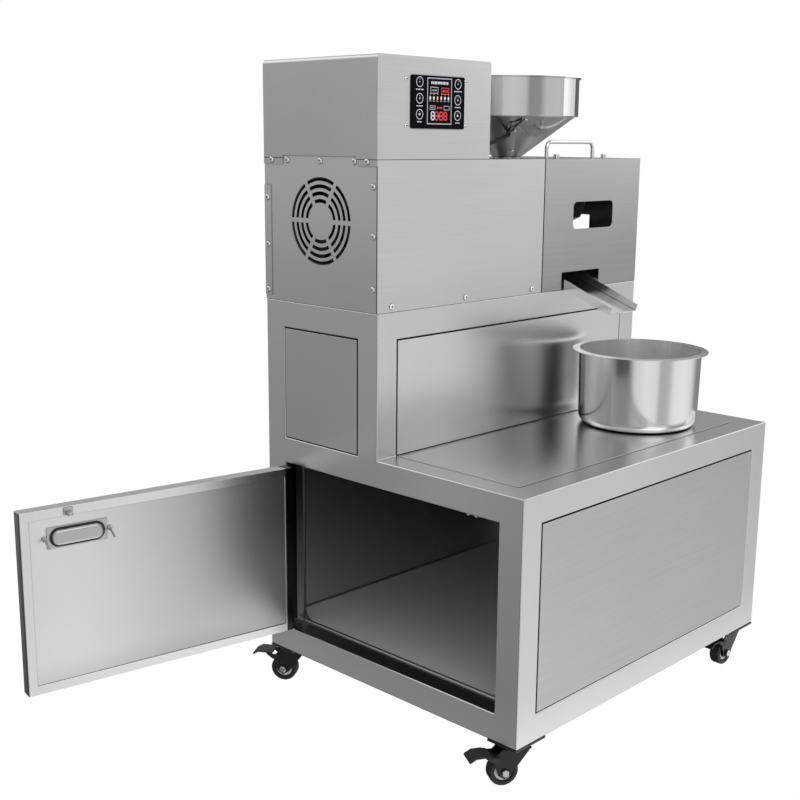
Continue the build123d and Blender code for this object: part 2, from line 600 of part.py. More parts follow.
def hinge_pin():
    """Pin through all the knuckles, turned over at both ends."""
    bottom = (OPENING_BOTTOM + OPENING_TOP - HINGE_LENGTH) / 2
    top = bottom + HINGE_LENGTH
    pin = bar_z(HINGE_PIN_RADIUS, HINGE_X, HINGE_Y, bottom - HINGE_PIN_HEAD, top + HINGE_PIN_HEAD)
    for z0 in (bottom - HINGE_PIN_HEAD, top + HINGE_SLIT / 2):
        pin += bar_z(HINGE_RADIUS - RUNNING, HINGE_X, HINGE_Y, z0, z0 + HINGE_PIN_HEAD)
    return pin


def roller_catch():
    """Catch under the top rail: a bent bracket with two rollers that grip the strike."""
    depth, width, height = CATCH_SIZE
    y = FRONT + CATCH_FROM_FRONT
    x0 = DOOR_INSIDE + DOOR_GAP
    body = block(x0, x0 + depth, y - width / 2, y + width / 2, OPENING_TOP - SHEET, OPENING_TOP)
    body += block(x0 + depth - SHEET, x0 + depth, y - width / 2, y + width / 2, OPENING_TOP - height, OPENING_TOP)
    roller_x, low = x0 + 2 * ROLLER_RADIUS, OPENING_TOP - height
    rollers = []
    for side in (-1, 1):
        roller_y = y + side * (STRIKE_WIDTH / 2 + ROLLER_RADIUS + 2 * SEAT)
        body += bar_z(ROLLER_PIN, roller_x, roller_y, low, OPENING_TOP)
        roller = bar_z(ROLLER_RADIUS, roller_x, roller_y, low + ROLLER_PIN, low + ROLLER_PIN + ROLLER_LENGTH)
        rollers.append(roller - bar_z(ROLLER_PIN + RUNNING, roller_x, roller_y, low, OPENING_TOP))
    return [body] + rollers


def catch_strike():
    """Tongue on the door's inside lip, just under its top edge."""
    y, z1 = FRONT + CATCH_FROM_FRONT, DOOR_TOP - SHEET
    z0 = z1 - 2 * STRIKE_DROP
    strike = block(DOOR_INSIDE, DOOR_INSIDE + SHEET, y - STRIKE_WIDTH, y + STRIKE_WIDTH, z0, z1)
    length = 2 * DOOR_GAP + 2 * ROLLER_RADIUS
    y0, y1 = y - STRIKE_WIDTH / 2, y + STRIKE_WIDTH / 2
    tongue = block(DOOR_INSIDE, DOOR_INSIDE + length, y0, y1, z0, z0 + STRIKE_DROP)
    return strike + fillet(tongue.faces().sort_by(Axis.X)[-1].edges(), STRIKE_NOSE)


def screw(direction):
    """Pan-head screw at the origin, pointing into the sheet along the direction."""
    head = Cylinder(SCREW_HEAD_RADIUS, SCREW_HEAD_HEIGHT, align=(Align.CENTER, Align.CENTER, Align.MIN))
    head = fillet(head.edges().group_by(Axis.Z)[-1], SCREW_HEAD_HEIGHT * 0.6)
    head += Cylinder(SCREW_RADIUS, SHEET, align=(Align.CENTER, Align.CENTER, Align.MAX))
    return Plane(origin=(0, 0, 0), z_dir=direction).location * head


def housing_screws():
    """Every screw that holds the sheets of the machine housing."""
    screws = [Pos(LEFT, y, z) * screw((-1, 0, 0)) for y, z in END_SCREWS + TAB_SCREWS]
    screws += [Pos(LEFT - SHEET, y, z) * screw((-1, 0, 0)) for y, z in LAP_SCREWS + REAR_SCREWS]
    screws += [Pos(x, FACE, z) * screw((0, -1, 0)) for x, z in FACE_SCREWS]
    return screws


def drilled_x(sheet, places):
    """Clearance holes along X through a sheet of the fan end."""
    for y, z in places:
        sheet -= bar_x(SCREW_RADIUS + RUNNING, LEFT - 2 * SHEET, LEFT + 2 * SHEET, y, z)
    return sheet


def machine_base():
    """Deck plate with upturned flanges, notched where the chute leaves."""
    x0, x1 = LEFT + SHEET, RIGHT - SHEET - SEAT
    y0, y1 = FACE + SHEET + SEAT, BACK - SHEET - SEAT
    base = block(x0, x1, y0, y1, DECK, DECK + BASE_SHEET)
    for y in (y0, y1 - BASE_SHEET):
        base += block(x0, x1, y, y + BASE_SHEET, DECK, DECK + BASE_FLANGE)
    notch_back = FACE + MACHINE_DEPTH / 5
    return base - block(LEFT + NOTCH_LEFT, LEFT + NOTCH_RIGHT, FACE, notch_back, DECK - 1, DECK + BASE_FLANGE + 1)


def body_cover():
    """Front and top sheet of the drive side, with a flange turned in at the fan end."""
    x0, x1 = LEFT + SHEET, BODY_RIGHT
    cover = block(LEFT, x1, FACE, FACE + SHEET, DECK, TOP)
    cover += block(LEFT, x1, FACE, BACK - SHEET, TOP - SHEET, TOP)
    cover += block(x0, x0 + SHEET, FACE + SHEET, FACE + 2 * LAP, DECK + BASE_FLANGE + 1, TOP)
    cover += block(x0, x0 + SHEET, FACE + SHEET, BACK - SHEET - SEAT, TOP - 2 * LAP, TOP)
    cover -= block(LEFT - 1, x0, FACE + 2 * SHEET, BACK, TOP - SHEET - 1, TOP + 1)
    for x, z in FACE_SCREWS:
        cover -= bar_y(SCREW_RADIUS + RUNNING, x, FACE - 1, FACE + 2 * SHEET, z)
    return cover


def rear_cover():
    """Back sheet of the drive side, lapped round the fan end."""
    cover = block(LEFT, BODY_RIGHT, BACK - SHEET, BACK, DECK, TOP)
    cover += block(LEFT - SHEET, LEFT, BACK - REAR_LAP, BACK, DECK + REAR_LAP_BOTTOM, DECK + REAR_LAP_TOP)
    return drilled_x(cover, REAR_SCREWS)


def grille_sketch():
    """Rings of arc slots between the spokes of the fan grille."""
    rings = Sketch()
    for inner, outer in GRILLE_RINGS:
        rings += Circle(outer) - Circle(inner)
    for index in range(GRILLE_SPOKES // 2):
        rings -= Rot(0, 0, index * 360 / GRILLE_SPOKES) * Rectangle(4 * GRILLE_RINGS[-1][1], GRILLE_SPOKE)
    return rings


def fan_end_panel():
    """Fan end sheet with its grille and the tab that rises into the control box's notch."""
    panel = block(LEFT, LEFT + SHEET, FACE + 2 * SHEET, BACK - SHEET - SEAT, DECK, TOP)
    panel += block(LEFT, LEFT + SHEET, FACE + TAB_FRONT, FACE + TAB_BACK, TOP - 1, TOP + TAB_RISE)
    plane = Plane(origin=(LEFT - 1, FAN_Y, FAN_Z), x_dir=(0, 1, 0), z_dir=(1, 0, 0))
    panel -= extrude(plane * grille_sketch(), SHEET + 2)
    return drilled_x(panel, END_SCREWS + TAB_SCREWS)


def bulkhead():
    """Upright plate between the drive and the press, its front edge turned behind the seam."""
    x0, x1 = BULKHEAD_X, BULKHEAD_X + 2 * SHEET
    y0, y1 = FACE + SHEET, BACK - SHEET
    plate = block(x0, x1, y0, y1, DECK + BASE_SHEET, TOP - SHEET)
    plate -= block(x0 - 1, x1 + 1, y0, y0 + BASE_SHEET + 2 * SEAT, DECK, DECK + BASE_FLANGE + SEAT)
    plate -= block(x0 - 1, x1 + 1, y1 - BASE_SHEET - 2 * SEAT, y1, DECK, DECK + BASE_FLANGE + SEAT)
    lip = block(x0, COVER_LEFT + LAP, y0 + SEAT, y0 + SEAT + SHEET, DECK + BASE_FLANGE + 1, TOP - SHEET - SEAT)
    hole = bar_x(OUTPUT_RADIUS + 2, x0 - 1, x1 + 1, PRESS_Y, PRESS_Z)
    return plate + lip - hole


def control_box():
    """Folded box on the machine's left top, its end lapped over the housing and notched for the tab."""
    x0, x1 = LEFT - SHEET, LEFT + CONTROL_WIDTH
    box = block(x0, x1, FACE, BACK, TOP, LID)
    box = fillet(box.edges().filter_by(Axis.Y).group_by(Axis.Z)[-1], CONTROL_CORNER)
    inside = block(x0 + SHEET, x1 - SHEET, FACE + SHEET, BACK - SHEET, TOP - 1, LID - SHEET)
    box -= fillet(inside.edges().filter_by(Axis.Y).group_by(Axis.Z)[-1], CONTROL_CORNER - SHEET)
    box += block(x0, LEFT, FACE, BACK, TOP - LAP, TOP + 1)
    notch_top = TOP + TAB_RISE + SEAT
    box -= block(x0 - 1, LEFT + SHEET + SEAT, FACE + TAB_FRONT, FACE + TAB_BACK, TOP - LAP - 1, notch_top)
    width, height = PANEL_SIZE
    px, pz = LEFT + PANEL_LEFT, TOP + PANEL_BOTTOM
    box -= block(px + PANEL_MARGIN, px + width - PANEL_MARGIN, FACE - 1, FACE + 2 * SHEET,
                 pz + PANEL_MARGIN, pz + height - PANEL_MARGIN)
    box -= bar_x(GLAND_RADIUS - GLAND_THREAD, x1 - 2 * SHEET, x1 + 1, GLAND_Y, GLAND_Z)
    return drilled_x(box, LAP_SCREWS)


def control_panel():
    """Touch panel glass on the front of the control box, with its plug-in frame behind."""
    width, height = PANEL_SIZE
    x0, z0 = LEFT + PANEL_LEFT, TOP + PANEL_BOTTOM
    glass = block(x0, x0 + width, FACE - PANEL_THICKNESS, FACE, z0, z0 + height)
    glass = fillet(glass.edges().filter_by(Axis.Y), PANEL_CORNER)
    inset = PANEL_MARGIN + SEAT
    x1, z1 = x0 + width - inset, z0 + height - inset
    return glass + block(x0 + inset, x1, FACE - PANEL_THICKNESS / 2, FACE + BOARD_STANDOFF, z0 + inset, z1)


def control_board():
    """Circuit board behind the touch panel, with its transformer and relays."""
    width, height, thick = BOARD_SIZE
    x = LEFT + PANEL_LEFT + PANEL_SIZE[0] / 2
    z = TOP + PANEL_BOTTOM + PANEL_SIZE[1] / 2
    transformer, relay = BOARD_PART_HEIGHTS
    y0, y1 = FACE + BOARD_STANDOFF, FACE + BOARD_STANDOFF + thick
    board = block(x - width / 2, x + width / 2, y0, y1, z - height / 2, z + height / 2)
    board += block(x - width / 3, x - width / 8, y1, y1 + transformer, z - height / 4, z + height / 4)
    for share in (0.05, 0.19, 0.33):
        rx = x + width * share
        board += block(rx, rx + width / 10, y1, y1 + relay, z - height / 5, z)
    return board


def motor():
    """Drive motor: ribbed round body with end bells and a foot that stands on the deck plate."""
    x0, x1 = LEFT + MOTOR_START, LEFT + MOTOR_END
    body = bar_x(MOTOR_RADIUS, x0, x1, PRESS_Y, PRESS_Z)
    body = fillet(body.edges().filter_by(GeomType.CIRCLE), MOTOR_RADIUS / 6)
    rib_height, rib_width = MOTOR_RIB
    for index in range(MOTOR_RIBS):
        x = x0 + (x1 - x0) * (index + 1.5) / (MOTOR_RIBS + 2)
        body += bar_x(MOTOR_RADIUS + rib_height, x - rib_width / 2, x + rib_width / 2, PRESS_Y, PRESS_Z)
    for x in (x0 + (x1 - x0) / 4, x1 - (x1 - x0) / 4):
        body += block(x - MOTOR_FOOT / 2, x + MOTOR_FOOT / 2, PRESS_Y - MOTOR_RADIUS * 0.8,
                      PRESS_Y + MOTOR_RADIUS * 0.8, DECK + BASE_SHEET, PRESS_Z - MOTOR_RADIUS * 0.7)
    return body


def gearbox():
    """Gearbox between the motor and the press, bolted to the bulkhead."""
    x0, x1 = LEFT + MOTOR_END, LEFT + GEARBOX_END
    body = block(x0, x1, PRESS_Y - GEARBOX_HALF_WIDTH, PRESS_Y + GEARBOX_HALF_WIDTH,
                 PRESS_Z - GEARBOX_HALF_HEIGHT, PRESS_Z + GEARBOX_HALF_HEIGHT)
    body = fillet(body.edges().filter_by(Axis.X), GEARBOX_HALF_WIDTH / 4)
    body += bar_x(1.7 * COUPLING_RADIUS, x1 - 1, BULKHEAD_X, PRESS_Y, PRESS_Z)
    foot_x = (x0 + GEARBOX_FOOT_INSET, x1 - GEARBOX_FOOT_INSET)
    foot_top = PRESS_Z - GEARBOX_HALF_HEIGHT + GEARBOX_FOOT_OVERLAP
    body += block(*foot_x, PRESS_Y - GEARBOX_HALF_WIDTH, PRESS_Y + GEARBOX_HALF_WIDTH, DECK + BASE_SHEET, foot_top)
    body -= bar_x(OUTPUT_RADIUS + RUNNING, x1 - OUTPUT_DEPTH - 2, BULKHEAD_X + 1, PRESS_Y, PRESS_Z)
    return body - bar_x(COUPLING_RADIUS + SEAT, BULKHEAD_X - COUPLING_LENGTH - 2, BULKHEAD_X + 1, PRESS_Y, PRESS_Z)


def output_shaft():
    """Gearbox output shaft, from the gearbox to the middle of the coupling."""
    start = LEFT + GEARBOX_END - OUTPUT_DEPTH
    return bar_x(OUTPUT_RADIUS, start, BULKHEAD_X - COUPLING_LENGTH / 2, PRESS_Y, PRESS_Z)


def drive_coupling():
    """Sleeve that joins the output shaft and the shank of the press screw."""
    middle = BULKHEAD_X - COUPLING_LENGTH / 2
    sleeve = bar_x(COUPLING_RADIUS, BULKHEAD_X - COUPLING_LENGTH - 1, BULKHEAD_X - 1, PRESS_Y, PRESS_Z)
    sleeve -= bar_x(OUTPUT_RADIUS + COUPLING_FIT, middle - COUPLING_LENGTH, middle, PRESS_Y, PRESS_Z)
    return sleeve - bar_x(SCREW_SHANK + COUPLING_FIT, middle, BULKHEAD_X + 1, PRESS_Y, PRESS_Z)


def press_barrel():
    """Pressing cage: flanged barrel with the feed throat on top and oil slits in its lower half."""
    flange_r, flange_t = BARREL_FLANGE
    barrel = bar_x(flange_r, BARREL_START, BARREL_START + flange_t, PRESS_Y, PRESS_Z)
    barrel += bar_x(BARREL_RADIUS, BARREL_START, BARREL_STOP, PRESS_Y, PRESS_Z)
    barrel += bar_z(HOPPER_NECK + THROAT_WALL, HOPPER_X, PRESS_Y, PRESS_Z, THROAT_TOP)
    barrel -= bar_x(BARREL_BORE, BARREL_START + flange_t, BARREL_STOP + 1, PRESS_Y, PRESS_Z)
    barrel -= bar_x(SCREW_SHANK + RUNNING, BARREL_START - 1, BARREL_START + flange_t + 1, PRESS_Y, PRESS_Z)
    barrel -= bar_z(HOPPER_NECK - SHEET - THROAT_STEP, HOPPER_X, PRESS_Y, PRESS_Z, THROAT_TOP)
    barrel -= bar_z(HOPPER_NECK + RUNNING, HOPPER_X, PRESS_Y, TOP - HOPPER_NECK_DROP - SEAT, THROAT_TOP + 1)
    for index in range(OIL_SLITS):
        x = LEFT + CHUTE_LEFT + OIL_SLIT_START + index * OIL_SLIT_PITCH
        barrel -= block(x, x + OIL_SLIT, PRESS_Y - BARREL_RADIUS, PRESS_Y + BARREL_RADIUS,
                        PRESS_Z - BARREL_RADIUS - 1, PRESS_Z - BARREL_BORE * 0.5)
    return barrel


def press_screw():
    """Press screw: shank, a core that thickens towards the head and one helical flight."""
    start = BARREL_START + BARREL_FLANGE[1] + FLIGHT_GAP
    length = BARREL_STOP - start - 2
    turns = length / SCREW_PITCH
    flight_r = BARREL_BORE - FLIGHT_GAP
    arc = CenterArc((0, 0), flight_r, 0, FLIGHT_ANGLE)
    sector = make_face([Line((0, 0), arc @ 0), arc, Line(arc @ 1, (0, 0))])
    section = (Circle(SCREW_CORE_START) + sector).faces()[0]
    flight = Solid.extrude_linear_with_rotation(section, (0, 0, 0), (0, 0, length), turns * 360)
    core = Pos(0, 0, length / 2) * Cone(SCREW_CORE_START + 0.2, SCREW_CORE_END, length)
    shank_end = BULKHEAD_X - COUPLING_LENGTH / 2 + 0.5
    shank = Pos(0, 0, (shank_end - start) / 2) * Cylinder(SCREW_SHANK, start - shank_end)
    nose = Pos(0, 0, length + HEAD_LENGTH / 3) * Cone(SCREW_CORE_END, 2, 2 * HEAD_LENGTH / 3)
    body = flight + core + shank + nose
    return Pos(start, PRESS_Y, PRESS_Z) * Rot(0, 90, 0) * body


def press_head():
    """Head nut at the barrel's end, bored to a cone that leads to the cake nozzle."""
    end = BARREL_STOP + HEAD_LENGTH
    nut = extrude(RegularPolygon(HEAD_RADIUS, 8), HEAD_LENGTH)
    cone = Cone(BARREL_BORE, HEAD_NOZZLE, HEAD_LENGTH)
    head = Pos(BARREL_STOP, PRESS_Y, PRESS_Z) * Rot(0, 90, 0) * nut
    return head - Pos((BARREL_STOP + end) / 2, PRESS_Y, PRESS_Z) * Rot(0, 90, 0) * cone


def barrel_support():
    """Saddle plate that carries the head end of the barrel on the deck plate."""
    x0, x1 = BARREL_STOP - SADDLE_FROM_END, BARREL_STOP - SADDLE_FROM_END + SADDLE_SHEET
    y0, y1, foot = PRESS_Y - BARREL_RADIUS, PRESS_Y + BARREL_RADIUS, DECK + BASE_SHEET
    plate = block(x0, x1, y0, y1, foot, PRESS_Z)
    plate += block(x0 - SADDLE_TOE, x1 + SADDLE_TOE, y0, y1, foot, foot + SADDLE_FOOT_SHEET)
    return plate - bar_x(BARREL_RADIUS + RUNNING, x0 - 1, x1 + 1, PRESS_Y, PRESS_Z)


def heater_band():
    """Clamp-on heater round the barrel, its gap and clamp ears on top."""
    x1 = BARREL_STOP - BAND_FROM_END
    x0 = x1 - BAND_WIDTH
    inner = BARREL_RADIUS + 2 * RUNNING
    outer = inner + BAND_THICKNESS
    band = bar_x(outer, x0, x1, PRESS_Y, PRESS_Z)
    for side in (-1, 1):
        y0, y1 = sorted((PRESS_Y + side * BAND_GAP / 2, PRESS_Y + side * BAND_GAP))
        band += block(x0, x1, y0, y1, PRESS_Z, PRESS_Z + outer + BAND_EAR)
    band -= bar_x(inner, x0 - 1, x1 + 1, PRESS_Y, PRESS_Z)
    slit = (PRESS_Y - BAND_GAP / 2, PRESS_Y + BAND_GAP / 2)
    return band - block(x0 - 1, x1 + 1, *slit, PRESS_Z, PRESS_Z + outer + BAND_EAR + 1)


def press_cover():
    """Lift-off cover with window, chute notch, cake outlet and the cut-out round the hopper seat."""
    x0, x1 = COVER_LEFT, RIGHT
    cover = block(x0, x1, FACE, BACK, DECK, TOP)
    cover -= block(x0 - 1, x1 - SHEET, FACE + SHEET, BACK - SHEET, DECK - 1, TOP - SHEET)
    width, height = WINDOW_SIZE
    window = Plane(origin=(LEFT + WINDOW_LEFT + width / 2, FACE + 2 * SHEET, DECK + WINDOW_BOTTOM + height / 2),
                   x_dir=(1, 0, 0), z_dir=(0, -1, 0))
    cover -= extrude(window * RectangleRounded(width, height, WINDOW_CORNER), 4 * SHEET)
    notch_x = (LEFT + NOTCH_LEFT, LEFT + NOTCH_RIGHT)
    cover -= block(*notch_x, FACE - 1, FACE + 2 * SHEET, DECK - 1, DECK + NOTCH_HEIGHT)
    cover -= block(RIGHT - 2 * SHEET, RIGHT + 1, FACE + OUTLET_FRONT, FACE + OUTLET_BACK,
                   DECK + OUTLET_BOTTOM, DECK + OUTLET_TOP)
    half = HOPPER_SEAT_HALF + SEAM_GAP
    cover -= block(x0 - 1, HOPPER_X + half, PRESS_Y - half, PRESS_Y + half, TOP - 2 * SHEET, TOP + 1)
    for x in knob_places():
        cover -= bar_z(SCREW_RADIUS + RUNNING, x, FACE + KNOB_BACK, TOP - 2 * SHEET, TOP + 1)
    return cover


def knob_places():
    """The two thumb screws stand either side of the cover's middle."""
    middle = (SEAM + RIGHT) / 2
    return (middle - KNOB_SPAN / 2, middle + KNOB_SPAN / 2)


def cover_knobs():
    """Thumb screws in the cover's top."""
    knobs = []
    for x in knob_places():
        knob = bar_z(KNOB_RADIUS, x, FACE + KNOB_BACK, TOP, TOP + KNOB_HEIGHT)
        knob = fillet(knob.edges().group_by(Axis.Z)[-1], KNOB_EDGE)
        knobs.append(knob + bar_z(SCREW_RADIUS, x, FACE + KNOB_BACK, TOP - SHEET, TOP + 1))
    return knobs


def cover_handle():
    """Bent round-bar handle welded to the cover's top."""
    middle = (SEAM + RIGHT) / 2 - HANDLE_SHIFT
    left, right = middle - HANDLE_SPAN / 2, middle + HANDLE_SPAN / 2
    y, high = FACE + HANDLE_BACK, TOP + HANDLE_RISE - HANDLE_ROD
    path = FilletPolyline((left, y, TOP), (left, y, high), (right, y, high), (right, y, TOP), radius=HANDLE_CORNER)
    return sweep(Plane(origin=(left, y, TOP), z_dir=(0, 0, 1)) * Circle(HANDLE_ROD), path=path)


def hopper():
    """Spun hopper: neck, funnel with screw holes, a bead under the drum and a flat brim."""
    s = SHEET
    z0 = TOP - HOPPER_NECK_DROP
    funnel_top = TOP + FUNNEL_HEIGHT
    drum_bottom = funnel_top + HOPPER_BEAD
    brim = drum_bottom + DRUM_HEIGHT
    outline = [
        (HOPPER_NECK - s, z0), (HOPPER_NECK, z0), (HOPPER_NECK, TOP + s), (FUNNEL_RADIUS, funnel_top),
        (FUNNEL_RADIUS + HOPPER_BEAD / 2, funnel_top + HOPPER_BEAD / 2), (FUNNEL_RADIUS + s, drum_bottom),
        (DRUM_RADIUS, drum_bottom), (DRUM_RADIUS, brim - s), (RIM_RADIUS, brim - s), (RIM_RADIUS, brim),
        (DRUM_RADIUS - s, brim), (DRUM_RADIUS - s, drum_bottom + s), (FUNNEL_RADIUS - s, drum_bottom + s),
        (HOPPER_NECK - s, TOP + 2 * s),
    ]
    body = Pos(HOPPER_X, PRESS_Y, 0) * turned(outline)
    for spot in (WIRE_TERMINAL, EARTH_TERMINAL, SENSOR_TERMINAL):
        body -= funnel_place(spot, 0).location * Cylinder(SCREW_RADIUS / 2, 4 * SHEET)
    return body


def hopper_seat():
    """Square collar plate at the level of the cover's top, on the barrel's throat."""
    half = HOPPER_SEAT_HALF
    plate = block(COVER_LEFT, HOPPER_X + half, PRESS_Y - half, PRESS_Y + half, TOP - HOPPER_SEAT_SHEET, TOP)
    return plate - bar_z(HOPPER_NECK + RUNNING, HOPPER_X, PRESS_Y, TOP - 5, TOP + 5)


def oil_chute():
    """Folded channel under the barrel that runs down and out through the cover's notch."""
    slope = atan(CHUTE_SLOPE)
    length = (CHUTE_TIP_OUT + CHUTE_INSIDE) / cos(slope)
    width = CHUTE_RIGHT - CHUTE_LEFT
    side = make_face(Polyline((0, 0), (length, 0), (length, CHUTE_BACK_WALL), (0, CHUTE_TIP_WALL), close=True))
    wall = extrude(Plane(origin=(0, 0, 0), x_dir=(0, 1, 0), z_dir=(1, 0, 0)) * side, SHEET)
    chute = wall + Pos(width - SHEET, 0, 0) * wall
    chute += block(0, width, 0, length, 0, SHEET)
    chute += block(0, width, length - SHEET, length, 0, CHUTE_BACK_WALL)
    return Pos(LEFT + CHUTE_LEFT, FACE - CHUTE_TIP_OUT, DECK - CHUTE_TIP_DROP) * Rot(degrees(slope), 0, 0) * chute


def chute_bracket():
    """Two upright tabs on the deck plate that carry the chute's back end."""
    y0 = FACE + CHUTE_INSIDE - CHUTE_TAB_FROM_END
    y1 = y0 + CHUTE_TAB_DEPTH
    under = DECK - CHUTE_TIP_DROP + (y0 - FACE + CHUTE_TIP_OUT) * CHUTE_SLOPE
    foot = DECK + BASE_SHEET
    tabs = []
    for x in (LEFT + CHUTE_LEFT + CHUTE_TAB_INSET, LEFT + CHUTE_RIGHT - CHUTE_TAB_INSET - SHEET):
        tab = block(x, x + SHEET, y0, y1, foot, under - SEAT)
        tabs.append(tab + block(x - CHUTE_TAB_TOE, x + SHEET + CHUTE_TAB_TOE, y0, y1, foot, foot + BASE_SHEET))
    return tabs


def fan_frame():
    """Axial fan frame behind the grille: square ring, four struts and the motor cup."""
    x0 = LEFT + SHEET
    plane = Plane(origin=(x0, FAN_Y, FAN_Z), x_dir=(0, 1, 0), z_dir=(1, 0, 0))
    outline = RectangleRounded(FAN_SQUARE, FAN_SQUARE, FAN_CORNER) - Circle(FAN_BORE)
    frame = extrude(plane * outline, FAN_DEPTH)
    x1 = x0 + FAN_DEPTH
    thick, wide = FAN_STRUT
    strut = Box(thick, 2 * (FAN_BORE + FAN_PIN), wide)
    for angle in (45, 135):
        frame += Pos(x1 - thick / 2, FAN_Y, FAN_Z) * Rot(angle, 0, 0) * strut
    frame += bar_x(FAN_HUB - FAN_PIN, x1 - wide, x1, FAN_Y, FAN_Z)
    return frame + bar_x(FAN_PIN, x0 + FAN_SETBACK + FAN_PIN, x1 - FAN_PIN, FAN_Y, FAN_Z)


def fan_rotor():
    """Hub with seven pitched blades."""
    x0 = LEFT + SHEET + FAN_SETBACK
    rotor = bar_x(FAN_HUB, x0, x0 + FAN_HUB_LENGTH - 1, FAN_Y, FAN_Z)
    rotor = fillet(rotor.edges().filter_by(GeomType.CIRCLE).sort_by(Axis.X)[0], FAN_HUB / 6)
    middle = x0 + FAN_HUB_LENGTH / 2
    ends = []
    for height, pitch, section in zip((FAN_HUB * 5 / 6, FAN_TIP), FAN_PITCHES, (BLADE_ROOT, BLADE_TIP)):
        across = (cos(radians(pitch)), sin(radians(pitch)), 0)
        ends.append(Plane(origin=(middle, 0, height), x_dir=across, z_dir=(0, 0, 1)) * Rectangle(*section))
    blade = loft(ends)
    for index in range(FAN_BLADES):
        rotor += Pos(0, FAN_Y, FAN_Z) * Rot(360 * index / FAN_BLADES, 0, 0) * blade
    return rotor - bar_x(FAN_PIN + RUNNING, x0 + FAN_PIN - SEAT, x0 + FAN_HUB_LENGTH, FAN_Y, FAN_Z)


def funnel_radius(share):
    """Radius of the funnel's outside at a share of the way up its wall."""
    return HOPPER_NECK + share * (FUNNEL_RADIUS - HOPPER_NECK)


def funnel_place(spot, away):
    """Plane on the funnel's outside at one of its spots, shifted outwards along its normal."""
    angle, radius = radians(spot[0]), funnel_radius(spot[1])
    rise, run = FUNNEL_HEIGHT - SHEET, FUNNEL_RADIUS - HOPPER_NECK
    slant = hypot(rise, run)
    out = (cos(angle), sin(angle))
    normal = (out[0] * rise / slant, out[1] * rise / slant, -run / slant)
    z = TOP + SHEET + spot[1] * rise
    point = (HOPPER_X + out[0] * radius, PRESS_Y + out[1] * radius, z)
    origin = tuple(p + away * n for p, n in zip(point, normal))
    return Plane(origin=origin, z_dir=normal)


def hopper_terminals():
    """Three small screws through the funnel's wall."""
    screws = []
    for spot in (WIRE_TERMINAL, EARTH_TERMINAL, SENSOR_TERMINAL):
        head = Cylinder(TERMINAL_RADIUS, TERMINAL_HEIGHT, align=(Align.CENTER, Align.CENTER, Align.MIN))
        head = fillet(head.edges().group_by(Axis.Z)[-1], TERMINAL_HEIGHT / 3)
        head += Cylinder(SCREW_RADIUS / 2, SHEET / 2, align=(Align.CENTER, Align.CENTER, Align.MAX))
        screws.append(funnel_place(spot, 0).location * head)
    return screws


def cable_gland():
    """Screwed gland in the control box's side."""
    x0 = LEFT + CONTROL_WIDTH
    collar, collar_length = GLAND_COLLAR
    gland = bar_x(GLAND_RADIUS - GLAND_THREAD - RUNNING, x0 - SHEET, x0, GLAND_Y, GLAND_Z)
    gland += bar_x(GLAND_RADIUS + collar, x0, x0 + collar_length, GLAND_Y, GLAND_Z)
    gland += bar_x(GLAND_RADIUS, x0 + collar_length, x0 + GLAND_LENGTH, GLAND_Y, GLAND_Z)
    return gland - bar_x(CABLE_RADIUS + RUNNING, x0 - 2 * SHEET, x0 + GLAND_LENGTH + 1, GLAND_Y, GLAND_Z)


def swept(radius, points, bend):
    """Round bar along a bent path."""
    path = FilletPolyline(*points, radius=bend)
    return sweep(Plane(origin=path @ 0, z_dir=path % 0) * Circle(radius), path=path)


def hopper_cable():
    """Sheathed cable from the gland to the funnel and two wires looped on to their terminal."""
    x0 = LEFT + CONTROL_WIDTH
    end = funnel_place(CABLE_CLIP, CABLE_RADIUS + SEAT).origin
    low = (x0 + CABLE_DIP_ALONG, GLAND_Y - CABLE_DIP_FRONT, end.Z - CABLE_DIP)
    straight = [(x0 - SHEET, GLAND_Y, GLAND_Z), (x0 + CABLE_STRAIGHT, GLAND_Y, GLAND_Z)]
    sheath = swept(CABLE_RADIUS, straight + [low, tuple(end)], CABLE_BEND)
    wires = []
    angle, share = WIRE_TERMINAL
    spread = WIRE_SPREAD / (FUNNEL_RADIUS - HOPPER_NECK)
    for side in (-1, 1):
        loop = (angle - WIRE_SIDE_ANGLE, share + side * spread)
        tip = funnel_place(loop, TERMINAL_HEIGHT / 2 + WIRE_RADIUS).origin
        bulge = (CABLE_CLIP[0] - 2 + side * 3, (share + CABLE_CLIP[1]) / 2)
        bend = funnel_place(bulge, WIRE_BULGE).origin
        wires.append(swept(WIRE_RADIUS, [tuple(end), tuple(bend), tuple(tip)], WIRE_BEND))
    return [sheath] + wires


def power_inlet():
    """Panel inlet for the mains lead, low on the back of the drive side."""
    width, depth, height = INLET_BODY
    flange = Box(*INLET_FLANGE, align=(Align.CENTER, Align.MIN, Align.CENTER))
    inlet = flange + Box(width, depth, height, align=(Align.CENTER, Align.MAX, Align.CENTER))
    socket = Box(width - 2 * INLET_WALL, INLET_SOCKET_DEPTH + INLET_FLANGE[1], height - 2 * INLET_WALL,
                 align=(Align.CENTER, Align.MAX, Align.CENTER))
    inlet -= Pos(0, INLET_FLANGE[1], 0) * socket
    pin = Box(INLET_PIN[0], INLET_SOCKET_DEPTH, INLET_PIN[1], align=(Align.CENTER, Align.MAX, Align.CENTER))
    for side in (-1, 0, 1):
        inlet += Pos(side * INLET_PIN_PITCH, -INLET_WALL, 0) * pin
    return Pos(INLET_X, BACK, INLET_Z) * inlet


def inlet_hole(sheet):
    """Cut-out in the rear cover for the inlet."""
    width, height = INLET_BODY[0] + 2 * RUNNING, INLET_BODY[2] + 2 * RUNNING
    return sheet - Pos(INLET_X, BACK, INLET_Z) * Box(width, 4 * SHEET, height)


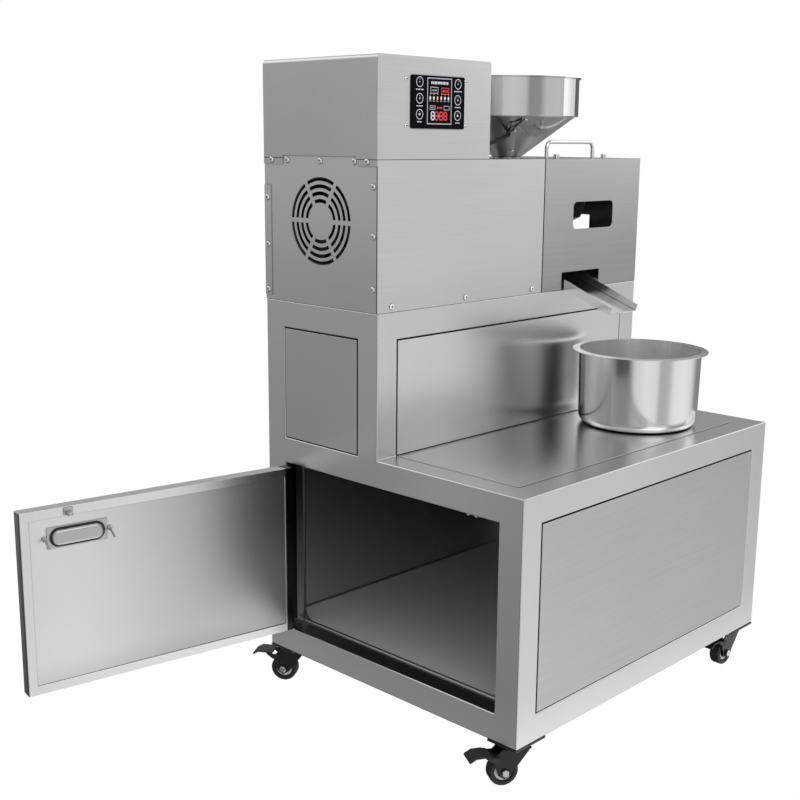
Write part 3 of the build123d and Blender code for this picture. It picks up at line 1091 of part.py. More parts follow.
def bowl():
    """Deep-drawn receiving bowl with a flat turned-out rim."""
    upright = (Align.CENTER, Align.CENTER, Align.MIN)
    outer = Cone(BOWL_FOOT, BOWL_RADIUS, BOWL_HEIGHT, align=upright)
    outer = fillet(outer.edges().group_by(Axis.Z)[0], BOWL_CORNER)
    inner = Pos(0, 0, BOWL_SHEET) * Cone(BOWL_FOOT - BOWL_SHEET, BOWL_RADIUS - BOWL_SHEET, BOWL_HEIGHT, align=upright)
    inner = fillet(inner.edges().group_by(Axis.Z)[0], BOWL_CORNER - BOWL_SHEET)
    rim = turned([
        (BOWL_RADIUS - BOWL_SHEET, BOWL_HEIGHT - BOWL_SHEET), (BOWL_RIM, BOWL_HEIGHT - 2 * BOWL_SHEET),
        (BOWL_RIM, BOWL_HEIGHT - BOWL_SHEET), (BOWL_RADIUS - BOWL_SHEET, BOWL_HEIGHT),
    ])
    return Pos(LEFT + BOWL_ALONG, FRONT + BOWL_FROM_FRONT, SHELF) * (outer - inner + rim)


INNER_LEFT, INNER_RIGHT = LEFT + TUBE, RIGHT - TUBE

save("cabinet_frame", *cabinet_frame())
save("front_panel", panel_on("front", INNER_LEFT, INNER_RIGHT, OPENING_BOTTOM, OPENING_TOP))
save("shelf_panel", panel_on("shelf", INNER_LEFT, INNER_RIGHT, OPENING_FRONT, FACE))
save("pedestal_panel", panel_on("pedestal", INNER_LEFT, INNER_RIGHT, SHELF, DECK - TUBE))
upper_ends = [panel_on(end, FACE + TUBE, OPENING_BACK, SHELF, DECK - TUBE) for end in ("left", "right")]
save("end_panels", *upper_ends, panel_on("right", OPENING_FRONT, OPENING_BACK, OPENING_BOTTOM, OPENING_TOP))
save("back_panel", panel_on("back", INNER_LEFT, INNER_RIGHT, OPENING_BOTTOM, DECK - TUBE))
save("deck_panel", panel_on("deck", INNER_LEFT, INNER_RIGHT, FACE + TUBE, OPENING_BACK))
save("floor_plate", floor_plate())
save("door_stop", door_stop())

plate_x = RIGHT - CASTER_PLATE[0] / 2
plate_y = BACK - CASTER_PLATE[1] / 2
CASTERS = {
    "front_left": (-plate_x, -plate_y),
    "front_right": (plate_x, -plate_y),
    "back_left": (-plate_x, plate_y),
    "back_right": (plate_x, plate_y),
}
save("caster_plates", *caster_plates(CASTERS.values()))
for corner, (caster_x, caster_y) in CASTERS.items():
    caster(f"caster_{corner}", caster_x, caster_y, CASTER_HEADINGS[corner])

save("door_pan", swung(door_pan()))
save("door_lining", swung(door_lining()))
save("door_pull", swung(door_pull()))
save("pull_plate", *[swung(piece) for piece in pull_plate()])
save("pull_gasket", swung(pull_gasket()))
save("catch_strike", swung(catch_strike()))
save("hinge_leaf_door", swung(hinge_leaf(-1)))
save("hinge_leaf_frame", hinge_leaf(1), hinge_pin())
save("roller_catch", *roller_catch())

save("machine_base", machine_base())
save("body_cover", body_cover())
save("rear_cover", inlet_hole(rear_cover()))
save("fan_end_panel", fan_end_panel())
save("bulkhead", bulkhead())
save("housing_screws", *housing_screws())
save("control_box", control_box())
save("control_panel", control_panel())
save("control_board", control_board())
save("power_inlet", power_inlet())
save("fan_frame", fan_frame())
save("fan_rotor", fan_rotor())
save("motor", motor())
save("gearbox", gearbox())
save("drive_coupling", drive_coupling(), output_shaft())
save("press_screw", press_screw())
save("press_barrel", press_barrel())
save("press_head", press_head())
save("press_supports", barrel_support(), *chute_bracket())
save("heater_band", heater_band())
save("oil_chute", oil_chute())
save("press_cover", press_cover())
save("cover_handle", cover_handle())
save("cover_knobs", *cover_knobs())
save("hopper", hopper())
save("hopper_seat", hopper_seat())
save("hopper_terminals", *hopper_terminals())
save("hopper_cable", *hopper_cable(), cable_gland())
save("bowl", bowl())
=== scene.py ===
"""Screw oil press on its stepped stainless cabinet, with the door open."""
from math import cos, pi, radians, sin, tau

import bmesh
import bpy
from mathutils import Matrix, Vector


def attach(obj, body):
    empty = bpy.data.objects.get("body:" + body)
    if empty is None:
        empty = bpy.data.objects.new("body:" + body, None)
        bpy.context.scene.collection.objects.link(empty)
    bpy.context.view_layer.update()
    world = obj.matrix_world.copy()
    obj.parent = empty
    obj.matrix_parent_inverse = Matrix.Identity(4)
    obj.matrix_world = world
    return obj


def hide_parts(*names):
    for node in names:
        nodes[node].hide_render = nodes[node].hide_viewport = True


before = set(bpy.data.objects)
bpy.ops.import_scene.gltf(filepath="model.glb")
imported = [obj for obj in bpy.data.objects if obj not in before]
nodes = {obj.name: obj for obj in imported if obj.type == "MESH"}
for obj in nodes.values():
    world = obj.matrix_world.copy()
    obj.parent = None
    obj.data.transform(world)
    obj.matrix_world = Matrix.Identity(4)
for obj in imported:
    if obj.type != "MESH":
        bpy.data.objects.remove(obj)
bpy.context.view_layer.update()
scene = bpy.context.scene
scene.view_settings.view_transform = "Standard"

# Camera. It stands off the machine's front left corner, as high as the hopper's foot, and looks
# slightly down.
CAMERA_PLACE = (-1.4113, -1.1069, 0.8134)
CAMERA_LENS = 54.56
CAMERA_DOWN, CAMERA_AZIMUTH, CAMERA_ROLL = radians(12.063), radians(-45.890), radians(0.488)

away = cos(CAMERA_DOWN)
back = Vector((sin(CAMERA_AZIMUTH) * away, -cos(CAMERA_AZIMUTH) * away, sin(CAMERA_DOWN)))
level = (-back).cross(Vector((0, 0, 1))).normalized()
upright = level.cross(-back)
right = level * cos(CAMERA_ROLL) + upright * sin(CAMERA_ROLL)
up = upright * cos(CAMERA_ROLL) - level * sin(CAMERA_ROLL)
camera = bpy.data.objects.new("camera", bpy.data.cameras.new("camera"))
camera.data.lens = CAMERA_LENS
camera.data.sensor_width = 36
camera.matrix_world = Matrix.Translation(CAMERA_PLACE) @ Matrix((right, up, back)).transposed().to_4x4()
scene.collection.objects.link(camera)
scene.camera = camera


# Studio. A pale round floor under three soft lamps. The camera sees white behind the machine, while
# the steel mirrors a grey room with tall light banks, a ceiling and a floor lit from the right.
class Socket:
    """A shader value; sums and products of such values add their own Math nodes."""

    def __init__(self, tree, out):
        self.tree = tree
        self.out = out

    def math(self, operation, a, b):
        return node(self.tree, "ShaderNodeMath", {"operation": operation}, {0: a, 1: b})

    def __add__(self, other):
        return self.math("ADD", self, other)

    def __sub__(self, other):
        return self.math("SUBTRACT", self, other)

    def __rsub__(self, other):
        return self.math("SUBTRACT", other, self)

    def __mul__(self, other):
        return self.math("MULTIPLY", self, other)

    def __truediv__(self, other):
        return self.math("DIVIDE", self, other)

    def __pow__(self, other):
        return self.math("POWER", self, other)

    def __gt__(self, other):
        return self.math("GREATER_THAN", self, other)

    def __lt__(self, other):
        return self.math("LESS_THAN", self, other)

    def at_most(self, other):
        return self.math("MINIMUM", self, other)

    def at_least(self, other):
        return self.math("MAXIMUM", self, other)

    def size(self):
        return self.math("ABSOLUTE", self, 0.0)

    __radd__ = __add__
    __rmul__ = __mul__


def node(tree, kind, settings, sockets, out=0):
    """Any shader node: its settings first, then the values or links of its sockets."""
    made = tree.nodes.new(kind)
    for key, value in settings.items():
        if key == "stops":
            ramp = made.color_ramp.elements
            while len(ramp) < len(value):
                ramp.new(0.5)
            for element, (place, tone) in zip(ramp, value):
                element.position = place
                element.color = (*tone, 1) if isinstance(tone, tuple) else (tone, tone, tone, 1)
        else:
            setattr(made, key, value)
    for key, value in sockets.items():
        if isinstance(value, Socket):
            tree.links.new(value.out, made.inputs[key])
        else:
            made.inputs[key].default_value = value
    return Socket(tree, made.outputs[out]) if made.outputs else None


def spot(tree):
    """Where a point lies on its piece, which stays with the piece when it moves."""
    return node(tree, "ShaderNodeTexCoord", {}, {}, "Object")


def coordinate(tree, axis, place=None):
    """One coordinate of a place, 0 for x to 2 for z."""
    return node(tree, "ShaderNodeSeparateXYZ", {}, {0: place or spot(tree)}, axis)


BANKS = ((-180, 0.20), (-146, 0.14), (-124, 0.22), (-106, 0.48), (-84, 0.54), (-64, 0.44),
         (-52, 0.16), (-32, 0.14), (-20, 0.80), (2, 0.92), (22, 0.80), (29, 0.42), (46, 0.44),
         (58, 0.80), (84, 0.84), (104, 0.70), (122, 0.16), (180, 0.20))
TOWARD_CAMERA = Vector((-0.70, -0.714))
CEILING = 0.62
CEILING_FROM, CEILING_TO = 0.08, 0.45
DOWN_LIGHT, DOWN_SHADE = 0.70, 0.50
DARKEST = 0.05
PLAIN_LIGHT = 0.80

world = bpy.data.worlds.new("studio")
world.use_nodes = True
room = world.node_tree
room.nodes.clear()
look = node(room, "ShaderNodeTexCoord", {}, {}, "Generated")
east, north, height = (coordinate(room, axis, look) for axis in range(3))
ahead = east * TOWARD_CAMERA.x + north * TOWARD_CAMERA.y
across = east * -TOWARD_CAMERA.y + north * TOWARD_CAMERA.x
turn = ahead.math("ARCTAN2", across, ahead)
stops = [(angle / 360 + 0.5, grey) for angle, grey in BANKS]
banks = node(room, "ShaderNodeValToRGB", {"stops": stops}, {0: turn / tau + 0.5})
flat = ((east * east + north * north) ** 0.5).at_least(0.001)
side = across / flat
below = (height * -1).at_least(0.0)
lift = node(room, "ShaderNodeMapRange", {}, {0: height, 1: CEILING_FROM, 2: CEILING_TO, 3: 0.0, 4: 1.0})
grey = banks * (1 - lift) + lift * CEILING
slope = (side + 1) * 0.5
grey = grey + below * (slope * (DOWN_LIGHT + DOWN_SHADE) - DOWN_SHADE)
path = node(room, "ShaderNodeLightPath", {}, {}, "Is Camera Ray")
mirror = node(room, "ShaderNodeLightPath", {}, {}, "Is Glossy Ray")
clear = node(room, "ShaderNodeLightPath", {}, {}, "Is Transmission Ray")
polish = (mirror + clear).at_most(1.0)
strength = path + (1 - path) * (polish * grey.at_least(DARKEST) + (1 - polish) * PLAIN_LIGHT)
shade = node(room, "ShaderNodeBackground", {}, {"Color": (1, 1, 1, 1), "Strength": strength})
node(room, "ShaderNodeOutputWorld", {}, {"Surface": shade})
scene.world = world

FLOOR_RADIUS, FLOOR_STEPS, FLOOR_DROP = 6.0, 64, 0.0005
FLOOR_GLOW = 0.985
floor_mesh = bpy.data.meshes.new("floor")
turns = [tau * i / FLOOR_STEPS for i in range(FLOOR_STEPS)]
rim = [(FLOOR_RADIUS * cos(a), FLOOR_RADIUS * sin(a), -FLOOR_DROP) for a in turns]
floor_mesh.from_pydata(rim, [], [list(range(FLOOR_STEPS))])
floor = bpy.data.objects.new("floor", floor_mesh)
scene.collection.objects.link(floor)
floor.visible_glossy = False
floor_finish = bpy.data.materials.new("pale_floor")
floor_finish.use_nodes = True
tree = floor_finish.node_tree
tree.nodes.clear()
seen = node(tree, "ShaderNodeLightPath", {}, {}, "Is Camera Ray")
paper = node(tree, "ShaderNodeBsdfDiffuse", {}, {"Color": (0.9, 0.9, 0.9, 1)})
glow = node(tree, "ShaderNodeEmission", {}, {"Color": (1, 1, 1, 1), "Strength": 1.0})
mixed = node(tree, "ShaderNodeMixShader", {}, {0: seen * FLOOR_GLOW, 1: paper, 2: glow})
node(tree, "ShaderNodeOutputMaterial", {}, {"Surface": mixed})
floor_mesh.materials.append(floor_finish)

LAMPS = {
    "key": ((-0.6, -2.6, 2.6), 2.4, 26.0),
    "fill": ((2.8, -1.0, 1.8), 2.2, 14.0),
    "rear": ((-1.2, 2.6, 2.4), 2.2, 14.0),
}
LAMPS_AIM = Vector((0, 0, 0.5))
for lamp_name, (place, span, power) in LAMPS.items():
    lamp = bpy.data.objects.new(lamp_name, bpy.data.lights.new(lamp_name, "AREA"))
    lamp.data.shape = "SQUARE"
    lamp.data.size = span
    lamp.data.energy = power
    lamp.location = place
    lamp.rotation_euler = (LAMPS_AIM - Vector(place)).to_track_quat("-Z", "Y").to_euler()
    scene.collection.objects.link(lamp)


# Cabinet frame. Square stainless tube, welded flush at every joint and ground, with soft corners
# along the tubes and the brush marks running up the posts and along the rails.
TUBE = 0.038
WIDTH, DEPTH = 0.600, 0.478
UNDERSIDE, SHELF, DECK = 0.062, 0.392, 0.591
FACE = 0.013
CORNER = 0.0018
HAIR = 0.00005


def principled(tree, **sockets):
    """The one surface shader of a material, joined to its output."""
    words = {key.replace("_", " ").title().replace("Ior", "IOR"): value for key, value in sockets.items()}
    shade = node(tree, "ShaderNodeBsdfPrincipled", {}, words)
    node(tree, "ShaderNodeOutputMaterial", {}, {"Surface": shade})


def new_finish(name):
    """An empty node material and its tree."""
    material = bpy.data.materials.new(name)
    material.use_nodes = True
    material.node_tree.nodes.clear()
    return material, material.node_tree


def combined(tree, parts):
    """A colour from three values."""
    return node(tree, "ShaderNodeCombineColor", {}, dict(enumerate(parts)))


def noise(tree, place, scale, detail, rough=0.5):
    """Noise between 0 and 1."""
    sockets = {"Vector": place, "Scale": scale, "Detail": detail, "Roughness": rough}
    return node(tree, "ShaderNodeTexNoise", {}, sockets, "Fac")


def grained(tree, stretch):
    """Brush marks from -1 to 1: noise drawn out along the axis with the small number."""
    place = node(tree, "ShaderNodeVectorMath", {"operation": "MULTIPLY"}, {0: spot(tree), 1: stretch})
    return (noise(tree, place, 1.0, 4.0, 0.65) - 0.5) * 2


ALONG_X = (5.0, 620.0, 620.0)
ALONG_Y = (620.0, 5.0, 620.0)
ALONG_Z = (620.0, 620.0, 5.0)


# painted shade: reach and strength of an ambient-occlusion mask that darkens the tone in joints and corners
CREVICE_SHADE_REACH, CREVICE_SHADE_DARK = 0.0022, 0.9
CLOUDS = 0.06
MARK_DEPTH = 0.0002


def steel_nodes(tree, tone, marks, rough, contrast=0.10, tint=(0.98, 1.0, 0.99), relief=0.02, metal=1.0,
                sheen=0.04):
    """Brushed stainless. Marks move the tone, the roughness and the surface, slow clouds move the tone, and
    painted shade from an ambient-occlusion mask darkens it in joints, corners and along laps."""
    clouds = noise(tree, spot(tree), 5.0, 2.0)
    # painted shade: the tone goes darker where other surfaces lie close, in joints, corners and laps
    crevice_shade = node(tree, "ShaderNodeAmbientOcclusion", {"samples": 6}, {"Distance": CREVICE_SHADE_REACH}, "AO")
    value = tone + marks * (contrast * 0.5) + (clouds - 0.5) * CLOUDS
    value = value * (crevice_shade * CREVICE_SHADE_DARK + (1 - CREVICE_SHADE_DARK))
    colour = combined(tree, [value * share for share in tint])
    sockets = {"Height": marks, "Strength": relief, "Distance": MARK_DEPTH}
    bump = node(tree, "ShaderNodeBump", {}, sockets, "Normal")
    principled(tree, base_color=colour, metallic=metal, roughness=marks * sheen + rough, normal=bump)


def fade(tree, axis, start, end, low, high):
    """A value that goes from low to high while one coordinate goes from start to end."""
    limits = {0: coordinate(tree, axis), 1: start, 2: end, 3: low, 4: high}
    return node(tree, "ShaderNodeMapRange", {"interpolation_type": "SMOOTHSTEP"}, limits)


def steel(name, tone, stretch, rough=0.30, contrast=0.10, fades=()):
    """Brushed stainless sheet with its marks along one axis, lighter or darker along the given fades."""
    material, tree = new_finish(name)
    for limits in fades:
        tone = fade(tree, *limits) * tone
    steel_nodes(tree, tone, grained(tree, stretch), rough, contrast)
    return material


def welded(bars):
    """One closed skin round square bars that meet flush, given as (x0, x1, y0, y1, z0, z1)."""
    bars = [[round(edge, 5) for edge in bar] for bar in bars]
    cuts = [sorted({bar[2 * axis + end] for bar in bars for end in (0, 1)}) for axis in range(3)]
    filled = set()
    for bar in bars:
        spans = []
        for axis in range(3):
            low, high = (cuts[axis].index(bar[2 * axis + end]) for end in (0, 1))
            spans.append(range(low, high))
        filled.update((i, j, k) for i in spans[0] for j in spans[1] for k in spans[2])
    skin = bmesh.new()
    corners = {}

    def corner(i, j, k):
        if (i, j, k) not in corners:
            corners[i, j, k] = skin.verts.new((cuts[0][i], cuts[1][j], cuts[2][k]))
        return corners[i, j, k]

    for cell in filled:
        for axis in range(3):
            u, v = (axis + 1) % 3, (axis + 2) % 3
            for end in (0, 1):
                beside = list(cell)
                beside[axis] += 2 * end - 1
                if tuple(beside) in filled:
                    continue
                loop = []
                for du, dv in ((0, 0), (1, 0), (1, 1), (0, 1)):
                    index = list(cell)
                    index[axis] += end
                    index[u] += du
                    index[v] += dv
                    loop.append(corner(*index))
                skin.faces.new(loop if end else loop[::-1])
    mesh = bpy.data.meshes.new("welded")
    skin.to_mesh(mesh)
    skin.free()
    return mesh


def add_piece(name, body, mesh, finish, slot, *stands_for):
    """Put a piece in the scene on the body that carries it, in place of the CAD nodes it stands for."""
    piece = bpy.data.objects.new(name, mesh)
    scene.collection.objects.link(piece)
    if finish:
        mesh.materials.append(finish)
    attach(piece, body)
    if stands_for:
        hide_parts(*stands_for)
    return piece


def soften(piece, width, segments=3):
    """Round a piece's sharp edges a little and shade it smooth between them."""
    piece.data.shade_smooth()
    bevel = piece.modifiers.new("soft_edges", "BEVEL")
    bevel.width = width
    bevel.segments = segments
    bevel.limit_method = "ANGLE"
    bevel.angle_limit = radians(40)
    bevel.harden_normals = True


bars = []
left, front, rear = -WIDTH / 2, -DEPTH / 2, DEPTH / 2
ledge = SHELF - HAIR
for x0 in (left, -left - TUBE):
    x1 = x0 + TUBE
    bars += [
        (x0, x1, front, front + TUBE, UNDERSIDE, ledge),
        (x0, x1, rear - TUBE, rear, UNDERSIDE, DECK),
        (x0, x1, FACE, FACE + TUBE, SHELF - TUBE, DECK),
        (x0, x1, front, rear, UNDERSIDE, UNDERSIDE + TUBE),
        (x0, x1, front, rear, SHELF - TUBE, ledge),
        (x0, x1, FACE, rear, DECK - TUBE, DECK),
    ]
for y0, top in ((front, UNDERSIDE + TUBE), (front, ledge), (rear - TUBE, UNDERSIDE + TUBE), (FACE, ledge),
                (FACE, DECK), (rear - TUBE, DECK)):
    foot = SHELF - TUBE if top == ledge else top - TUBE
    bars.append((left, -left, y0, y0 + TUBE, foot, top))

frame_finish, tree = new_finish("frame_steel_brushed")
x, y, z = (coordinate(tree, axis) for axis in range(3))
in_post = (y.size() > rear - TUBE) + (((y - FACE - TUBE / 2).size() < TUBE / 2) * (z > SHELF))
in_post = in_post.at_most(1.0) * (x.size() > -left - TUBE)
sideways = coordinate(tree, 0, node(tree, "ShaderNodeNewGeometry", {}, {}, "Normal")).size()
rail = (sideways > 0.5) * grained(tree, ALONG_Y) + (sideways < 0.5) * grained(tree, ALONG_X)
marks = in_post * grained(tree, ALONG_Z) + (1 - in_post) * rail
# painted light: the tubes' tone is painted lighter towards the floor, 0.72 at the bottom rails and 0.60
# above
steel_nodes(tree, fade(tree, 2, 0.06, 0.14, 0.72, 0.60), marks, 0.27, 0.02, relief=0.0, sheen=0.0)
skin_mesh = welded(bars)
skin = add_piece("cabinet_frame_skin", "cabinet", skin_mesh, frame_finish, "frame_steel", "cabinet_frame")
soften(skin, CORNER)


# Cabinet panels. Thin stainless sheet with a raised field, pressed so that a narrow groove runs
# all round, brushed from side to side and welded inside the tubes. The grooves are painted near-black,
# painted shade.
def dress(name, finish, width=0.0):
    """Give a CAD node its finish and, where it shows, soft edges."""
    piece = nodes[name]
    piece.data.materials.clear()
    piece.data.materials.append(finish)
    for polygon in piece.data.polygons:
        polygon.material_index = 0
    if width:
        if "custom_normal" in piece.data.attributes:
            piece.data.attributes.remove(piece.data.attributes["custom_normal"])
        piece.data.shade_smooth()
        piece.data.set_sharp_from_angle(angle=radians(30))
        weld = piece.modifiers.new("joined", "WELD")
        weld.merge_threshold = 0.00001
        soften(piece, width, 2)


# painted light and shade: each panel's tone is set for its own face, 0.48 on the front, 0.55 on the ends
# and deck, 0.64 on the shelf and pedestal, 0.72 at the back, all one steel
PANEL_EDGE = 0.0005
LIP_START, LIP_END = 0.0006, 0.0012
# painted shade: the front and pedestal panels go near-black in their grooves, just behind the face
GROOVE_SHADE = 0.05
front_groove_shade = (1, front + LIP_START, front + LIP_END, 1.0, GROOVE_SHADE)
dress("front_panel", steel("panel_front", 0.48, ALONG_X, 0.30, 0.14, [front_groove_shade]), PANEL_EDGE)
dress("shelf_panel", steel("panel_shelf", 0.64, ALONG_X, 0.24, 0.02), PANEL_EDGE)
face_groove_shade = (1, FACE + LIP_START, FACE + LIP_END, 1.0, GROOVE_SHADE)
dress("pedestal_panel", steel("panel_pedestal", 0.64, ALONG_X, 0.25, 0.04, [face_groove_shade]), PANEL_EDGE)
end_finish, tree = new_finish("panel_ends")
# painted shade: the end panels go near-black in their grooves, outside the raised field
raised = coordinate(tree, 0).size() > -left - 0.001
steel_nodes(tree, raised * 0.53 + 0.02, grained(tree, ALONG_Y), 0.30, 0.04)
dress("end_panels", end_finish, PANEL_EDGE)
dress("back_panel", steel("panel_back", 0.72, ALONG_X, 0.38), PANEL_EDGE)
dress("deck_panel", steel("panel_deck", 0.55, ALONG_X, 0.34))
inner_floor, tree = new_finish("cabinet_floor")
scuffs = grained(tree, (40.0, 400.0, 40.0))
principled(tree, base_color=(0.66, 0.66, 0.65, 1), metallic=0.25, roughness=scuffs * 0.08 + 0.5)
dress("floor_plate", inner_floor)
# painted shade: the stop frame round the opening is toned near-black for the shade inside the opening
dress("door_stop", steel("stop_frame_painted_shade", 0.12, ALONG_Y, 0.40))


# Door. A folded pan with a narrow lip, a lining sheet let in behind it, a sunk pull with its rubber
# ring, and a strike for the roller catch; it hangs on a continuous hinge. The hinge and the pan's edge
# beside it are painted near-black as painted shade; the pan is painted darker along its closing edge,
# and the lining is painted darker towards the hinge and the bottom, as painted shade.
DOOR_EDGE = 0.0004
closing_edge = (0, -0.6990, -0.6978, 0.30, 1.0)
# painted shade: the pan's edge beside the hinge goes near-black
hinge_edge_shade = (0, -0.3195, -0.3175, 1.0, 0.06)
door_finish = steel("door_outer", 0.76, ALONG_X, 0.26, 0.05, [closing_edge, hinge_edge_shade])
dress("door_pan", door_finish, DOOR_EDGE)
# painted shade: the lining is darker towards the hinge side and towards the bottom
lining_shade_fades = [(0, -0.66, -0.46, 1.0, 0.72), (2, 0.112, 0.150, 0.86, 1.0)]
dress("door_lining", steel("door_inner", 0.77, ALONG_X, 0.30, 0.05, lining_shade_fades))
pull_finish, tree = new_finish("pull_satin")
steel_nodes(tree, 0.50, grained(tree, ALONG_X), 0.32, 0.04, (1.0, 1.01, 0.97))
for name in ("door_pull", "pull_plate", "catch_strike", "roller_catch"):
    dress(name, pull_finish)


SPECKLE_SIZE, SPECKLE_BUMP, SPECKLE_ROUGH = 900.0, 0.15, 0.15


def plain(name, colour, rough, metal=0.0, grain=0.0, gloss=0.5):
    """Moulded or painted surface with a fine grain in its colour, its roughness and its bump."""
    material, tree = new_finish(name)
    speckle = noise(tree, spot(tree), SPECKLE_SIZE, 3.0)
    tones = [speckle * (grain * part) + part * (1 - grain / 2) for part in colour]
    sockets = {"Height": speckle, "Strength": SPECKLE_BUMP, "Distance": MARK_DEPTH}
    bump = node(tree, "ShaderNodeBump", {}, sockets, "Normal")
    roughness = (speckle - 0.5) * SPECKLE_ROUGH + rough
    principled(tree, base_color=combined(tree, tones), metallic=metal, roughness=roughness, normal=bump,
               specular_ior_level=gloss)
    return material


black_rubber = plain("black_rubber", (0.008, 0.008, 0.008), 0.55, grain=0.3)
dress("pull_gasket", black_rubber)
# painted shade: the hinge leaves are toned near-black, the tone of the shaded jamb
hinge_shade_finish = steel("hinge_painted_shade", 0.05, ALONG_Z, 0.30)
dress("hinge_leaf_frame", hinge_shade_finish)
dress("hinge_leaf_door", hinge_shade_finish)


# Casters. Pressed steel plate and fork in black paint, black wheel, moulded black brake pedal. The
# wheel's white rings and the axle nuts come at the end of the file.
CORNERS = {"front_left": (-1, -1, 150), "front_right": (1, -1, 178), "back_left": (-1, 1, 122),
           "back_right": (1, 1, 200)}
black_paint = plain("caster_black_paint", (0.009, 0.009, 0.010), 0.26, grain=0.2)
pedal_moulding = plain("pedal_moulding", (0.010, 0.010, 0.010), 0.40, grain=0.3)
dress("caster_plates", black_paint)
for corner_name in CORNERS:
    dress(f"caster_{corner_name}_fork", black_paint)
    dress(f"caster_{corner_name}_wheel", black_rubber)
    dress(f"caster_{corner_name}_pedal", pedal_moulding)


# Machine housing. Folded stainless sheets, brushed along their length, screwed together with pan heads.
# A thin near-black line is painted along the control box's foot, and a dark strip along the press cover's
# edge at the seam, both painted shade.
TOP, SEAM = 0.789, 0.0498
# painted shade: the housing's front and end sheets are painted darker towards the bottom, the ends also
# lighter near the top
housing_front = steel("housing_front", 0.60, ALONG_X, 0.30, 0.13, [(2, 0.57, 0.66, 0.94, 1.0)])
housing_end = steel("housing_end", 0.64, ALONG_Y, 0.32, 0.08, [(2, 0.59, 0.78, 0.88, 1.05)])
for name in ("machine_base", "body_cover", "hopper_seat"):
    dress(name, housing_front)
dress("rear_cover", housing_end)
dress("fan_end_panel", housing_end)
# painted shade: the bulkhead behind the press cover's seam is toned near-black so the seam reads as a dark
# gap
dress("bulkhead", steel("bulkhead_painted_shade", 0.10, ALONG_X, 0.45))
box_finish, tree = new_finish("box_front")
height = coordinate(tree, 2)
# painted shade: a near-black line along the control box's foot where it meets the body cover
seam_shade = (height > TOP - 0.0002) * (height < TOP + 0.0009)
steel_nodes(tree, 0.58 - seam_shade * 0.48, grained(tree, ALONG_X), 0.30, 0.13)
dress("control_box", box_finish)
dress("housing_screws", steel("screw_bright", 0.90, ALONG_Z, 0.16, 0.05))
# painted shade: the press cover is darker towards the bottom and near-black in a strip along its edge at
# the seam
cover_shade_fades = [(2, 0.58, 0.78, 0.78, 1.0), (0, SEAM + 0.0004, SEAM + 0.0012, 0.08, 1.0)]
dress("press_cover", steel("cover_front", 0.46, ALONG_X, 0.30, 0.12, cover_shade_fades))
dress("control_panel", plain("touch_glass", (0.004, 0.004, 0.005), 0.28, gloss=0.02))
dress("control_board", plain("circuit_board", (0.03, 0.16, 0.07), 0.4, grain=0.2))
dress("power_inlet", pedal_moulding)
dress("fan_frame", plain("fan_moulding", (0.015, 0.015, 0.015), 0.5, grain=0.2))
dress("fan_rotor", plain("fan_blades", (0.022, 0.022, 0.022), 0.45, grain=0.2))
dress("motor", plain("motor_enamel", (0.03, 0.033, 0.036), 0.35, grain=0.1))
dress("gearbox", plain("gearbox_enamel", (0.10, 0.11, 0.115), 0.4, grain=0.1))


# Press. Turned and milled steel parts with a brass-coloured heater band; the oil runs down a folded
# stainless chute.
machined = steel("machined_steel", 0.30, ALONG_Z, 0.35)
for name in ("press_barrel", "press_head", "press_supports", "press_screw", "drive_coupling"):
    dress(name, machined)
dress("heater_band", plain("band_metal", (0.45, 0.38, 0.22), 0.35, metal=1.0, grain=0.1))
CHUTE_EDGE = 0.0003
dress("oil_chute", steel("chute_steel", 0.90, ALONG_Y, 0.14, 0.05), CHUTE_EDGE)


# Hopper and bowl. Spun stainless: the hopper's drum is polished and its funnel is duller, and the bowl's
# inside is painted brighter and less metallic than its outside, painted light. The handle, thumb screws and
# the hopper's screws are polished too.
DRUM_FOOT = 0.8505
polished = steel("polished_steel", 0.80, ALONG_Z, 0.10, 0.02)
hopper_finish, tree = new_finish("hopper_spun")
in_funnel = coordinate(tree, 2) < DRUM_FOOT
steel_nodes(tree, 0.58 + in_funnel * 0.08, grained(tree, ALONG_Z), 0.05 + in_funnel * 0.15, 0.02)
dress("hopper", hopper_finish)
dress("hopper_cable", black_rubber)
for name in ("hopper_terminals", "cover_handle", "cover_knobs"):
    dress(name, polished)
BOWL_AT = Vector((0.152, -0.100, SHELF))
BOWL_FOOT_RADIUS, BOWL_FLARE = 0.0890, 0.0217
bowl_finish, tree = new_finish("bowl_satin")
centred = node(tree, "ShaderNodeVectorMath", {"operation": "SUBTRACT"}, {0: spot(tree), 1: BOWL_AT})
x, y, z = (coordinate(tree, axis, centred) for axis in range(3))
# painted light: the inside is painted brighter, 0.99 against 0.76, and less metallic than the outside
inside = ((x * x + y * y) ** 0.5 - z * BOWL_FLARE) < BOWL_FOOT_RADIUS
steel_nodes(tree, 0.76 + inside * 0.23, grained(tree, ALONG_Z), 0.13, 0.03, metal=1 - inside * 0.11)
dress("bowl", bowl_finish)


